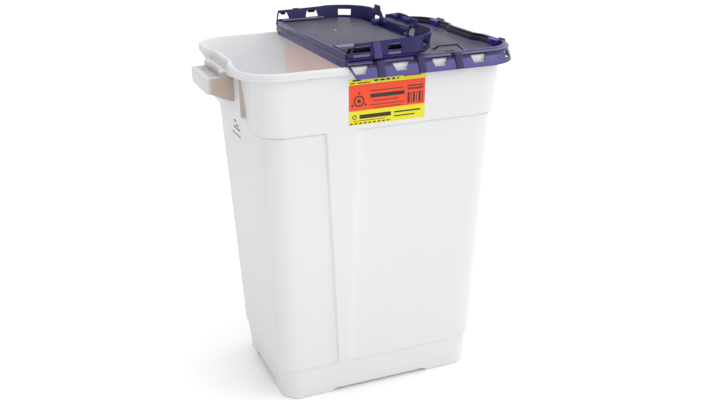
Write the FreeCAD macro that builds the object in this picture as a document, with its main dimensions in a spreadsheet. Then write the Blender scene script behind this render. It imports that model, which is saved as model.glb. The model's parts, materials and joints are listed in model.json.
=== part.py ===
"""Hinged-top sharps container: tapered tub, clip-down lid with a living-hinge flap.

Millimetres. +X runs along the long side (the flap opens over the -X end),
+Y runs to the back, +Z is up.  The origin is at the middle of the footprint,
on the surface that the container stands on.  The flap is drawn fully open,
turned 180 degrees over on to the fixed part of the lid.
"""
import FreeCAD, Part
import Sketcher
import os
from FreeCAD import Vector, Placement, Rotation

doc = FreeCAD.newDocument("SharpsContainer")

# ---------------------------------------------------------------- dimensions
DIMS = [
    # tub, outside half sizes, corner radii and heights
    ("base_hx", 138.5), ("base_hy", 95.5), ("base_rad", 25.0),
    ("band_hx", 142.0), ("band_hy", 98.6), ("band_z", 45.4),
    ("low_hx", 144.2), ("low_hy", 100.8), ("low_rad", 25.1),
    ("mid_hx", 156.6), ("mid_hy", 127.2), ("mid_rad", 29.0), ("mid_z", 382.2),
    ("up_hx", 161.7), ("up_hy", 130.6), ("up_rad", 30.5),
    ("neck_hx", 168.0), ("neck_hy", 134.5), ("neck_rad", 36.0), ("neck_z", 453.0),
    ("rim_hx", 179.5), ("rim_hy", 141.0), ("rim_rad", 47.0), ("rim_z", 463.0),
    ("mouth_hx", 173.9), ("mouth_hy", 135.4), ("mouth_rad", 41.6),
    ("wall", 2.0), ("floor_z", 12.0),
    ("foot_x", 62.0), ("foot_y", 44.0), ("arch_front", 5.0), ("arch_end", 9.0),
    # notch in the middle of each short end of the rim
    ("notch_deep", 6.0), ("notch_in", 31.0), ("notch_out", 54.0),
    # pilaster on the front and on the back
    ("pil_top_a", 80.7), ("pil_top_b", 38.4), ("pil_low_a", 63.5), ("pil_low_b", 48.2),
    # backing plate of each handle
    ("plate_x", 170.0), ("plate_y", 60.0), ("plate_low", 398.0),
    # handle
    ("grip_x", 204.7), ("grip_y", 41.7), ("grip_top", 444.7), ("grip_low", 424.3),
    ("grip_root", 412.5), ("grip_wall", 3.0), ("grip_dip_x", 8.0), ("grip_dip", 1.6),
    # lid
    ("hinge_x", 56.25), ("hinge_z", 469.45), ("hinge_gap", 0.25), ("hinge_wall", 3.0),
    ("ridge_z", 469.3), ("ridge_hx", 177.0), ("ridge_hy", 142.0), ("ridge_rad", 46.0),
    ("ridge_in_x", 171.0), ("ridge_in_y", 136.5), ("ridge_in_rad", 40.0),
    ("sh_z", 465.5), ("sh_hx", 182.9), ("sh_hy", 144.4), ("sh_rad", 50.0),
    ("panel_hx", 170.3), ("panel_hy", 133.2), ("panel_rad", 38.0),
    ("panel_low", 460.3), ("panel_z", 462.8),
    ("web_in_x", 167.5), ("web_in_y", 130.5), ("web_in_rad", 35.5),
    ("plug_hx", 165.0), ("plug_hy", 130.2), ("plug_rad", 35.0), ("plug_low", 457.5), ("plug_thick", 2.0),
    ("skirt_low", 448.0), ("skirt_hx", 187.5), ("skirt_hy", 148.5), ("skirt_rad", 54.0),
    ("skirt_in_x", 180.7), ("skirt_in_y", 142.2), ("skirt_in_rad", 48.0), ("skirt_thick", 2.3),
    ("seat_fixed", 463.0), ("seat_flap", 463.4),
    ("win_top", 462.9), ("win_low", 454.0), ("win_top_w", 22.0), ("win_low_w", 13.5),
    ("rib_w", 10.5), ("rib_out", 150.6),
    ("tab_in", 55.5), ("tab_out", 73.5), ("tab_low", 436.6),
    # living hinge, labels and printed marks
    ("web_thick", 1.1), ("web_half", 138.0), ("web_rise", 1.55),
    ("lab_left", 52.0), ("lab_right", 50.0), ("lab_low", 388.0), ("lab_top", 447.5), ("lab_thick", 0.3),
    ("back_left", 49.0), ("back_right", 53.0),
    ("mark_thick", 0.25), ("mark_y", 18.0),
]
sheet = doc.addObject("Spreadsheet::Sheet", "Dims")
VAL = {}
for i, (alias, value) in enumerate(DIMS, start=1):
    sheet.set("A%d" % i, alias)
    sheet.set("B%d" % i, str(value))
    sheet.setAlias("B%d" % i, alias)
    VAL[alias] = value
doc.recompute()


class Q:
    """A size: the expression that the document keeps, and its present value."""
    def __init__(self, text, value):
        self.t, self.v = text, float(value)

    @staticmethod
    def of(a):
        return a if isinstance(a, Q) else Q(repr(float(a)), a)

    def __add__(self, o):
        o = Q.of(o)
        return Q("(%s + %s)" % (self.t, o.t), self.v + o.v)

    def __sub__(self, o):
        o = Q.of(o)
        return Q("(%s - %s)" % (self.t, o.t), self.v - o.v)

    def __mul__(self, o):
        o = Q.of(o)
        return Q("(%s * %s)" % (self.t, o.t), self.v * o.v)

    def __neg__(self):
        return Q("(0 - %s)" % self.t, -self.v)


def D(name):
    return Q("Dims." + name, VAL[name])


def mix(a, b, f):
    """The value a fraction f of the way from a to b."""
    return a + (b - a) * f


def new_body(label):
    b = doc.addObject("PartDesign::Body", label)
    b.Label = label
    return b


def plane(body, role):
    for f in body.Origin.OriginFeatures:
        if f.Role == role:
            return f
    raise RuntimeError(role)


def new_sketch(body, name, role="XY_Plane", offset=None):
    s = body.newObject("Sketcher::SketchObject", name)
    s.AttachmentSupport = [(plane(body, role), "")]
    s.MapMode = "FlatFace"
    if offset is not None:
        offset = Q.of(offset)
        s.AttachmentOffset = Placement(Vector(0, 0, offset.v), Rotation())
        s.setExpression("AttachmentOffset.Base.z", offset.t)
    return s


def bind(s, kind, args, q):
    """Adds a distance from the sketch's origin that follows the sheet."""
    i = s.addConstraint(Sketcher.Constraint(kind, *args, abs(q.v)))
    s.setExpression("Constraints[%d]" % i, q.t if q.v >= 0 else "(0 - %s)" % q.t)


def fix_point(s, g, p, x, y):
    """Holds one point at x, y from the origin; zero means on the axis."""
    for kind, axis, q in (("DistanceX", -2, Q.of(x)), ("DistanceY", -1, Q.of(y))):
        if abs(q.v) < 1e-9:
            s.addConstraint(Sketcher.Constraint("PointOnObject", g, p, axis))
        elif q.v > 0:
            bind(s, kind, (-1, 1, g, p), q)
        else:
            bind(s, kind, (g, p, -1, 1), q)


def rrect_into(s, hx, hy, r, deep=0.0):
    """A centred rounded rectangle whose two short ends carry a shallow notch."""
    hx, hy, r, deep = Q.of(hx), Q.of(hy), Q.of(r), Q.of(deep)
    yi, yo = D("notch_in"), D("notch_out")
    # corner points in turn, counter-clockwise; None marks an arc to the next point
    run = [(-(hx - r), -hy), (hx - r, -hy), None,
           (hx, -(hy - r)), (hx, -yo), (hx - deep, -yi), (hx - deep, yi), (hx, yo), (hx, hy - r), None,
           (hx - r, hy), (-(hx - r), hy), None,
           (-hx, hy - r), (-hx, yo), (-(hx - deep), yi), (-(hx - deep), -yi), (-hx, -yo), (-hx, -(hy - r)), None]
    C = Sketcher.Constraint
    n = s.GeometryCount
    zup = Vector(0, 0, 1)
    pi = 3.141592653589793
    centres = [(hx - r, -(hy - r), -pi / 2), (hx - r, hy - r, 0.0), (-(hx - r), hy - r, pi / 2), (-(hx - r), -(hy - r), pi)]
    kinds, k, i = [], 0, 0
    m = len(run)
    while i < m:
        if run[i] is None:
            i += 1
            continue
        nxt = run[(i + 1) % m]
        if nxt is None:
            cx, cy, a0 = centres[k]
            k += 1
            s.addGeometry(Part.ArcOfCircle(Part.Circle(Vector(cx.v, cy.v, 0), zup, r.v), a0, a0 + pi / 2), False)
            kinds.append(("arc", None))
        else:
            s.addGeometry(Part.LineSegment(Vector(run[i][0].v, run[i][1].v, 0), Vector(nxt[0].v, nxt[1].v, 0)), False)
            kinds.append(("line", run[i]))
        i += 1
    g = len(kinds)
    for j in range(g):
        here, after = n + j, n + (j + 1) % g
        if kinds[(j + 1) % g][0] == "arc":
            s.addConstraint(C("Tangent", here, 2, after, 1))
        else:
            s.addConstraint(C("Coincident", here, 2, after, 1))
    for j in range(g):
        if kinds[j][0] == "line":
            fix_point(s, n + j, 1, kinds[j][1][0], kinds[j][1][1])
            # a line that an arc follows also has its far end fixed
            if kinds[(j + 1) % g][0] == "arc":
                idx = [q for q in range(m) if run[q] is kinds[j][1]][0]
                fix_point(s, n + j, 2, run[(idx + 1) % m][0], run[(idx + 1) % m][1])


def rrect(body, name, z, hx, hy, r, deep=0.0):
    s = new_sketch(body, name, "XY_Plane", z)
    rrect_into(s, hx, hy, r, deep)
    return s


def poly_into(s, pts):
    pts = [(Q.of(a), Q.of(b)) for a, b in pts]
    n = s.GeometryCount
    k = len(pts)
    for i in range(k):
        a, b = pts[i], pts[(i + 1) % k]
        s.addGeometry(Part.LineSegment(Vector(a[0].v, a[1].v, 0), Vector(b[0].v, b[1].v, 0)), False)
    for i in range(k):
        s.addConstraint(Sketcher.Constraint("Coincident", n + i, 2, n + (i + 1) % k, 1))
    for i in range(k):
        fix_point(s, n + i, 1, pts[i][0], pts[i][1])


def poly(body, name, role, offset, *loops):
    s = new_sketch(body, name, role, offset)
    for pts in loops:
        poly_into(s, pts)
    return s


def loft(body, name, sections, cut=False):
    f = body.newObject("PartDesign::SubtractiveLoft" if cut else "PartDesign::AdditiveLoft", name)
    f.Profile = sections[0]
    f.Sections = sections[1:]
    f.Ruled = True
    doc.recompute()
    return f


def pad(body, name, sketch, length, reverse=False):
    f = body.newObject("PartDesign::Pad", name)
    f.Profile = sketch
    length = Q.of(length)
    f.Length = length.v
    f.setExpression("Length", length.t)
    f.Reversed = reverse
    doc.recompute()
    return f


def pocket(body, name, sketch, length, reverse=False):
    """Cuts, and checks that the cut took something away."""
    before = body.Shape.Volume
    f = body.newObject("PartDesign::Pocket", name)
    f.Profile = sketch
    length = Q.of(length)
    f.Length = length.v
    f.setExpression("Length", length.t)
    f.Reversed = reverse
    doc.recompute()
    if not body.Shape.Volume < before - 1.0:
        raise RuntimeError(name + " cut nothing")
    return f


# ------------------------------------------------------------------- the tub
shell = new_body("container_shell")
w = D("wall")
loft(shell, "BaseBand", [rrect(shell, "S_base", 0.0, D("base_hx"), D("base_hy"), D("base_rad")),
                         rrect(shell, "S_band", D("band_z"), D("band_hx"), D("band_hy"), D("base_rad"))])
loft(shell, "LowerWall", [rrect(shell, "S_low", D("band_z"), D("low_hx"), D("low_hy"), D("low_rad")),
                          rrect(shell, "S_mid", D("mid_z"), D("mid_hx"), D("mid_hy"), D("mid_rad"))])
loft(shell, "UpperBand", [rrect(shell, "S_up", D("mid_z"), D("up_hx"), D("up_hy"), D("up_rad")),
                          rrect(shell, "S_neck", D("neck_z"), D("neck_hx"), D("neck_hy"), D("neck_rad"))])
pad(shell, "Rim", rrect(shell, "S_rim", D("neck_z"), D("rim_hx"), D("rim_hy"), D("rim_rad"), D("notch_deep")),
    D("rim_z") - D("neck_z"))
for tag, sy in (("Front", -1), ("Back", 1)):
    top = poly(shell, "S_pil%s_top" % tag, "XY_Plane", D("mid_z"),
               [(-D("pil_top_a"), D("up_hy") * sy), (-D("pil_top_b"), D("up_hy") * sy),
                (-D("pil_top_b"), (D("up_hy") - 12) * sy), (-D("pil_top_a"), (D("up_hy") - 12) * sy)])
    low = poly(shell, "S_pil%s_low" % tag, "XY_Plane", D("band_z"),
               [(-D("pil_low_a"), (D("low_hy") + 2.2) * sy), (-D("pil_low_b"), (D("low_hy") + 2.2) * sy),
                (-D("pil_low_b"), (D("low_hy") - 10) * sy), (-D("pil_low_a"), (D("low_hy") - 10) * sy)])
    loft(shell, "Pilaster" + tag, [low, top])
for tag, sx in (("Left", -1), ("Right", 1)):
    # backing plate of the handle, vertical while the wall behind it tapers
    pl = poly(shell, "S_plate" + tag, "XZ_Plane", -D("plate_y"),
              [(D("plate_x") * sx, D("plate_low")), (D("plate_x") * sx, D("neck_z") + 1.0),
               (D("plate_x") * sx - 20.0 * sx, D("neck_z") + 1.0), (D("plate_x") * sx - 20.0 * sx, D("plate_low") - 12.0),
               (D("mid_hx") * sx, D("plate_low") - 12.0)])
    pad(shell, "Plate" + tag, pl, D("plate_y") * 2)
# inside of the tub
wi = w
loft(shell, "HollowFoot", [
    rrect(shell, "C_floor", D("floor_z"), mix(D("base_hx"), D("band_hx"), 0.31) - wi, mix(D("base_hy"), D("band_hy"), 0.31) - wi, D("base_rad") - wi),
    rrect(shell, "C_band", D("band_z") - 2.0, D("band_hx") - wi, D("band_hy") - wi, D("base_rad") - wi),
    rrect(shell, "C_low", D("band_z") + 2.0, D("low_hx") - wi, D("low_hy") - wi, D("low_rad") - wi),
    rrect(shell, "C_mid", D("mid_z") - 2.6, D("mid_hx") - wi, D("mid_hy") - wi, D("mid_rad") - wi),
    rrect(shell, "C_up", D("mid_z") + 2.6, D("up_hx") - wi, D("up_hy") - wi, D("up_rad") - wi),
    rrect(shell, "C_neck", D("neck_z"), D("neck_hx") - wi, D("neck_hy") - wi, D("neck_rad") - wi)], cut=True)
loft(shell, "HollowMouth", [
    rrect(shell, "C_throat", D("neck_z"), D("neck_hx") - wi, D("neck_hy") - wi, D("neck_rad") - wi, 0.2),
    rrect(shell, "C_mouth", D("rim_z"), D("mouth_hx"), D("mouth_hy"), D("mouth_rad"), D("notch_deep"))], cut=True)
# arches under the base leave four corner feet
pocket(shell, "ArchFront", poly(shell, "S_archf", "XZ_Plane", -150.0,
       [(-(D("base_hx") - D("foot_x")), -1.0), (D("base_hx") - D("foot_x"), -1.0),
        (D("base_hx") - D("foot_x") - 8.0, D("arch_front")), (-(D("base_hx") - D("foot_x") - 8.0), D("arch_front"))]), 300.0, reverse=True)
pocket(shell, "ArchEnd", poly(shell, "S_arche", "YZ_Plane", -170.0,
       [(-(D("base_hy") - D("foot_y")), -1.0), (D("base_hy") - D("foot_y"), -1.0),
        (D("base_hy") - D("foot_y") - 12.0, D("arch_end")), (-(D("base_hy") - D("foot_y") - 12.0), D("arch_end"))]), 340.0, reverse=True)


# --------------------------------------------------------------- the handles
def handle(label, sx):
    b = new_body(label)
    px, gx = D("plate_x") * sx, D("grip_x") * sx
    prof = poly(b, "S_" + label, "XZ_Plane", -D("grip_y"),
                [(px, D("grip_root")), (gx - 2.0 * sx, D("grip_low")), (gx, D("grip_low") + 1.0),
                 (gx, D("grip_top") - 1.5), (gx - 1.5 * sx, D("grip_top")), (px, D("grip_top"))])
    pad(b, "Lug", prof, D("grip_y") * 2)
    # hollow for the fingers, open underneath
    gw = D("grip_wall")
    hol = poly(b, "C_" + label, "XY_Plane", D("grip_top") - gw - D("grip_dip"),
               [(px - 0.01 * sx, -(D("grip_y") - gw)), (gx - gw * sx, -(D("grip_y") - gw)),
                (gx - gw * sx, D("grip_y") - gw), (px - 0.01 * sx, D("grip_y") - gw)])
    pocket(b, "FingerHollow", hol, 60.0)
    # shallow trough along the top, beside the tub
    dip = poly(b, "T_" + label, "XY_Plane", D("grip_top"),
               [(px + D("grip_dip_x") * sx, -(D("grip_y") - 8.0)), (px + D("grip_dip_x") * sx + 12.0 * sx, -(D("grip_y") - 8.0)),
                (px + D("grip_dip_x") * sx + 12.0 * sx, D("grip_y") - 8.0), (px + D("grip_dip_x") * sx, D("grip_y") - 8.0)])
    pocket(b, "TopTrough", dip, D("grip_dip"))
    return b


handle_left = handle("handle_left", -1)
handle_right = handle("handle_right", 1)


# ------------------------------------------------------------------- the lid
def window(xc):
    return [(xc - D("win_top_w") * 0.5, D("win_top")), (xc + D("win_top_w") * 0.5, D("win_top")),
            (xc + D("win_low_w") * 0.5, D("win_low")), (xc - D("win_low_w") * 0.5, D("win_low"))]


def lid_part(label, fixed):
    """One half of the lid, drawn closed on the rim.  fixed keeps x > hinge."""
    b = new_body(label)
    seat = D("seat_fixed") if fixed else D("seat_flap")
    side = 1 if fixed else -1
    nd = D("notch_deep")
    # skirt and shoulder, hollowed from below up to the seat on the rim
    loft(b, "Skirt", [rrect(b, "L_low", D("skirt_low"), D("skirt_hx"), D("skirt_hy"), D("skirt_rad"), nd),
                      rrect(b, "L_sh", D("sh_z"), D("sh_hx"), D("sh_hy"), D("sh_rad"), nd)])
    t = D("skirt_thick")
    loft(b, "Inside", [rrect(b, "L_in_b", D("skirt_low"), D("skirt_hx") - t, D("skirt_hy") - t, D("skirt_rad") - t, nd),
                       rrect(b, "L_in_t", seat, D("skirt_in_x"), D("skirt_in_y"), D("skirt_in_rad"), nd)], cut=True)
    pocket(b, "Well", rrect(b, "L_well", D("sh_z"), D("web_in_x"), D("web_in_y"), D("web_in_rad"), nd), D("sh_z") - seat + 1.0)
    # sunken panel, its surrounding wall, and the plug below it
    web = new_sketch(b, "L_web", "XY_Plane", D("panel_low"))
    rrect_into(web, D("panel_hx"), D("panel_hy"), D("panel_rad"), nd)
    rrect_into(web, D("web_in_x"), D("web_in_y"), D("web_in_rad"), nd)
    pad(b, "Wall", web, D("sh_z") - D("panel_low") - 0.4)
    pad(b, "Panel", rrect(b, "L_panel", D("panel_low"), D("panel_hx") - 1.2, D("panel_hy") - 1.2, D("panel_rad") - 1.2, nd), D("panel_z") - D("panel_low"))
    plug = new_sketch(b, "L_plug", "XY_Plane", D("plug_low"))
    rrect_into(plug, D("plug_hx"), D("plug_hy"), D("plug_rad"), nd)
    rrect_into(plug, D("plug_hx") - D("plug_thick"), D("plug_hy") - D("plug_thick"), D("plug_rad") - D("plug_thick"), nd)
    pad(b, "Plug", plug, D("panel_low") - D("plug_low") + 0.5)
    # raised ridge round the top
    rg = new_sketch(b, "L_ridge", "XY_Plane", D("sh_z") - 0.5)
    rrect_into(rg, D("ridge_hx"), D("ridge_hy"), D("ridge_rad"), nd)
    rrect_into(rg, D("ridge_in_x"), D("ridge_in_y"), D("ridge_in_rad"), nd)
    pad(b, "Ridge", rg, D("ridge_z") - D("sh_z") + 0.5)
    # keep what belongs to this half
    if fixed:
        keep = poly(b, "L_keep", "XY_Plane", D("ridge_z") + 5.0,
                    [(-260.0, -200.0), (-(D("hinge_x") - D("hinge_gap")), -200.0), (-(D("hinge_x") - D("hinge_gap")), 200.0), (-260.0, 200.0)])
    else:
        keep = poly(b, "L_keep", "XY_Plane", D("ridge_z") + 5.0,
                    [(260.0, -200.0), (-(D("hinge_x") + D("hinge_gap")), -200.0), (-(D("hinge_x") + D("hinge_gap")), 200.0), (260.0, 200.0)])
    pocket(b, "Split", keep, 60.0)
    # wall along the hinge line
    x0 = -(D("hinge_x") - D("hinge_gap")) if fixed else -(D("hinge_x") + D("hinge_gap"))
    x1 = x0 + D("hinge_wall") * (1.0 if fixed else -1.0)
    hw = poly(b, "L_hw", "XY_Plane", D("panel_low"),
              [(x0, -D("web_in_y") - 1.0), (x1, -D("web_in_y") - 1.0), (x1, D("web_in_y") + 1.0), (x0, D("web_in_y") + 1.0)])
    pad(b, "HingeWall", hw, D("ridge_z") - D("panel_low"))
    # snap windows in the long sides
    centres = [-40.8, 11.7, 64.2, 116.8] if fixed else [-70.6, -115.0]
    for tag, sy in (("F", -1), ("B", 1)):
        s = new_sketch(b, "L_win" + tag, "XZ_Plane", 160.0 if sy < 0 else -143.2)
        for c in centres:
            poly_into(s, window(Q.of(c)))
        pocket(b, "Windows" + tag, s, 16.8, reverse=False)
    # ribs between the windows
    rc = [-14.5, 38.0, 90.5] if fixed else [-92.8]
    for tag, sy in (("F", -1), ("B", 1)):
        s = new_sketch(b, "L_rib" + tag, "XY_Plane", D("skirt_low"))
        for c in rc:
            c = Q.of(c)
            h = D("rib_w") * 0.5
            y0, y1 = (D("sh_hy") - 0.4) * sy, (D("skirt_hy") + 0.6) * sy
            poly_into(s, [(c - h, y0), (c + h, y0), (c + h, y1), (c - h, y1)])
        pad(b, "Ribs" + tag, s, D("ridge_z") - D("skirt_low") - 1.2)
    if not fixed:
        s = new_sketch(b, "L_tabs", "XY_Plane", D("tab_low"))
        for sy in (-1, 1):
            x0, x1 = -(D("skirt_hx") - 0.6), -(D("skirt_hx") - 3.2)
            poly_into(s, [(x0, D("tab_in") * sy), (x1, D("tab_in") * sy), (x1, D("tab_out") * sy), (x0, D("tab_out") * sy)])
        pad(b, "FingerTabs", s, D("sh_z") - D("tab_low") - 4.0)
    return b


lid_frame = lid_part("lid_frame", True)
lid_flap = lid_part("lid_flap", False)
lid_flap.Placement = Placement(Vector(-2 * VAL["hinge_x"], 0, 2 * VAL["hinge_z"]), Rotation(Vector(0, 1, 0), 180))
lid_flap.setExpression("Placement.Base.x", "(0 - 2 * Dims.hinge_x)")
lid_flap.setExpression("Placement.Base.z", "(2 * Dims.hinge_z)")

# ---------------------------------------------------------- the living hinge
hinge = new_body("living_hinge")
x1 = -(D("hinge_x") - D("hinge_gap")) - 0.02
x0 = x1 - D("web_thick")
pad(hinge, "Web", poly(hinge, "S_web", "XZ_Plane", -D("web_half"),
    [(x0, D("hinge_z") - D("web_rise") + 0.4), (x0, D("hinge_z") + D("web_rise") - 0.4), (x1, D("hinge_z") + D("web_rise")), (x1, D("hinge_z") - D("web_rise"))]),
    D("web_half") * 2)


# -------------------------------------------------------------- printed labels
def upper_face_y(z):
    """Half depth of the upper band at height z."""
    f = (z - D("mid_z")) * (1.0 / (VAL["neck_z"] - VAL["mid_z"]))
    return D("up_hy") + (D("neck_hy") - D("up_hy")) * f


label_front = new_body("label_front")
secs = []
for tag, z in (("a", D("lab_low")), ("b", D("lab_top"))):
    y = upper_face_y(z)
    secs.append(poly(label_front, "S_lab_" + tag, "XY_Plane", z,
                     [(-D("lab_left"), -y - D("lab_thick")), (D("lab_right"), -y - D("lab_thick")), (D("lab_right"), -y), (-D("lab_left"), -y)]))
loft(label_front, "Label", secs)

label_back = new_body("label_back")
secs = []
for tag, z in (("a", D("lab_low")), ("b", D("lab_top"))):
    y = upper_face_y(z)
    secs.append(poly(label_back, "S_lbk_" + tag, "XY_Plane", z,
                     [(-D("back_left"), y), (D("back_right"), y), (D("back_right"), y + D("lab_thick")), (-D("back_left"), y + D("lab_thick"))]))
loft(label_back, "Label", secs)


# ---------------------------------------------------- printed fill-level marks
def lower_face_x(z):
    f = (z - D("band_z")) * (1.0 / (VAL["mid_z"] - VAL["band_z"]))
    return D("low_hx") + (D("mid_hx") - D("low_hx")) * f


# one body holds one solid, so each stroke is a body and the node gathers them
strokes = []
for k, (zc, half, dy) in enumerate(((376.0, 7.0, 2.0), (367.5, 14.0, -3.0), (360.0, 21.0, 1.0), (352.0, 24.0, 1.0))):
    bd = new_body("stroke_%d" % k)
    secs = []
    for tag, z in (("a", Q.of(zc)), ("b", Q.of(zc + 2.2))):
        x = lower_face_x(z)
        secs.append(poly(bd, "S_st%d%s" % (k, tag), "XY_Plane", z,
                         [(-x - D("mark_thick"), D("mark_y") + dy - half), (-x, D("mark_y") + dy - half), (-x, D("mark_y") + dy + half), (-x - D("mark_thick"), D("mark_y") + dy + half)]))
    loft(bd, "Stroke%d" % k, secs)
    strokes.append(bd)
fill_marks = doc.addObject("Part::Compound", "fill_marks")
fill_marks.Label = "fill_marks"
fill_marks.Links = strokes

doc.recompute()
SUBPARTS = [shell, handle_left, handle_right, lid_frame, lid_flap, hinge, label_front, label_back, fill_marks]
bad = [o.Label for o in doc.Objects if any(k in str(st) for st in o.State for k in ("Invalid", "Error"))]
if bad:
    raise RuntimeError("failed objects: " + ", ".join(bad))
os.makedirs("parts", exist_ok=True)
for o in SUBPARTS:
    sh = o.Shape
    if sh.isNull() or not sh.isValid():
        raise RuntimeError(o.Label + " is not a valid shape")
for o in SUBPARTS:
    sh = o.Shape
    bb = sh.optimalBoundingBox()
    print("%-16s solids %d vol %9.1f  x %.1f %.1f  y %.1f %.1f  z %.1f %.1f" %
          (o.Label, len(sh.Solids), sh.Volume, bb.XMin, bb.XMax, bb.YMin, bb.YMax, bb.ZMin, bb.ZMax))
    sh.exportStep("parts/%s.step" % o.Label)
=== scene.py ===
import json
import math

import bpy
import numpy as np
from mathutils import Matrix, Vector


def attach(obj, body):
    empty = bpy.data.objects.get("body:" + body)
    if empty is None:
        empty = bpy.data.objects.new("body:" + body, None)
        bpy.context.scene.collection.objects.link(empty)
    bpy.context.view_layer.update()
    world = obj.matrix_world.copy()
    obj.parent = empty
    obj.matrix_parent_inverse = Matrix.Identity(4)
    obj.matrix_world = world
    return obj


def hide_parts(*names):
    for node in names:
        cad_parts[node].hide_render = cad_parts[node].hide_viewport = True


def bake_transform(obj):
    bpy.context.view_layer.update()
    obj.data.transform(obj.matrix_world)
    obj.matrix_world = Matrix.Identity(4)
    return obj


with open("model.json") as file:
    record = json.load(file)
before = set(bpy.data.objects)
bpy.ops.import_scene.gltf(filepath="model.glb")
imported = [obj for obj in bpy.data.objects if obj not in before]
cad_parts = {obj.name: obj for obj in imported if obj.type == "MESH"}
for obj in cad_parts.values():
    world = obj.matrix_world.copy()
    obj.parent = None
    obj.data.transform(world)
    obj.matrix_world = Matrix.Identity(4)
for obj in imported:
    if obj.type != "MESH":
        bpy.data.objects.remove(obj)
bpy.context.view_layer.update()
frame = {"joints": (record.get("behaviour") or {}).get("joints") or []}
MM = 0.001
JOINT = frame["joints"][0]
HINGE = [c / MM for c in (JOINT.get("pos_m") or (-0.05625, 0, 0.46945))]
HX, HZ = HINGE[0], HINGE[2]


# ------------------------------------------------------------------ utilities
def smooth(t):
    t = min(1.0, max(0.0, t))
    return t * t * (3 - 2 * t)


def lerp(a, b, t):
    return a + (b - a) * t


def link(obj):
    bpy.context.scene.collection.objects.link(obj)
    return obj


class Mesh:
    """Collects points in millimetres and faces with a material number."""

    def __init__(self):
        self.v, self.f, self.m = [], [], []

    def pts(self, points):
        n = len(self.v)
        self.v.extend([tuple(float(c) for c in p) for p in points])
        return list(range(n, n + len(points)))

    def face(self, ids, mat=0, flip=False):
        ids = [int(i) for i in ids]
        clean = [ids[k] for k in range(len(ids)) if ids[k] != ids[k - 1]]
        if len(set(clean)) < 3:
            return
        self.f.append(clean[::-1] if flip else clean)
        self.m.append(mat)

    def strip(self, a, b, closed=False, mat=0, flip=False, skip=None):
        n = len(a)
        for k in range(n if closed else n - 1):
            if skip and skip(k):
                continue
            j = (k + 1) % n
            self.face((a[k], a[j], b[j], b[k]), mat, flip)

    def rows(self, rows, closed=False, mat=0, flip=False):
        ids = [self.pts(r) for r in rows]
        for a, b in zip(ids[:-1], ids[1:]):
            self.strip(a, b, closed, mat, flip)
        return ids

    def prism(self, loop_a, loop_b, mat=0):
        """Closed solid between two loops of the same length."""
        a, b = self.pts(loop_a), self.pts(loop_b)
        self.strip(a, b, True, mat)
        self.face(a[::-1], mat)
        self.face(b, mat)

    def build(self, name, mats, angle=32.0, weld=0.0005):
        me = bpy.data.meshes.new(name)
        me.from_pydata([(x * MM, y * MM, z * MM) for x, y, z in self.v], [], self.f)
        for mt in mats:
            me.materials.append(mt)
        me.polygons.foreach_set("material_index", self.m)
        me.update()
        if weld:
            import bmesh
            bm = bmesh.new()
            bm.from_mesh(me)
            bmesh.ops.remove_doubles(bm, verts=bm.verts, dist=weld * MM * 10)
            bm.to_mesh(me)
            bm.free()
        finish_shade(me, angle)
        return link(bpy.data.objects.new(name, me))


def finish_shade(me, angle):
    me.polygons.foreach_set("use_smooth", [True] * len(me.polygons))
    me.set_sharp_from_angle(angle=math.radians(angle))
    me.update()


def outward(obj):
    """Consistent normals, pointing out."""
    import bmesh
    bm = bmesh.new()
    bm.from_mesh(obj.data)
    bmesh.ops.recalc_face_normals(bm, faces=bm.faces)
    bm.to_mesh(obj.data)
    bm.free()
    obj.data.update()


def applied(obj, angle=32.0):
    """Replaces the object's mesh by the result of its modifiers."""
    dg = bpy.context.evaluated_depsgraph_get()
    me = bpy.data.meshes.new_from_object(obj.evaluated_get(dg))
    old = obj.data
    obj.modifiers.clear()
    obj.data = me
    me.name = obj.name
    if old.users == 0:
        bpy.data.meshes.remove(old)
    finish_shade(me, angle)
    return obj


def bevelled(obj, width, segments=2, angle=30.0):
    b = obj.modifiers.new("b", "BEVEL")
    b.width = width * MM
    b.segments = segments
    b.limit_method = "ANGLE"
    b.angle_limit = math.radians(angle)
    b.harden_normals = False
    return applied(obj)


def joined(name, objs):
    """Joins objects that are one moulding."""
    bpy.ops.object.select_all(action="DESELECT")
    for o in objs:
        o.select_set(True)
    bpy.context.view_layer.objects.active = objs[0]
    bpy.ops.object.join()
    o = bpy.context.view_layer.objects.active
    o.name = name
    o.data.name = name
    return o


# ------------------------------------------------------------------ materials
def lin(r, g, b):
    return tuple((c / 12.92 if c <= 0.04045 else ((c + 0.055) / 1.055) ** 2.4) for c in (r / 255, g / 255, b / 255)) + (1.0,)


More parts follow.
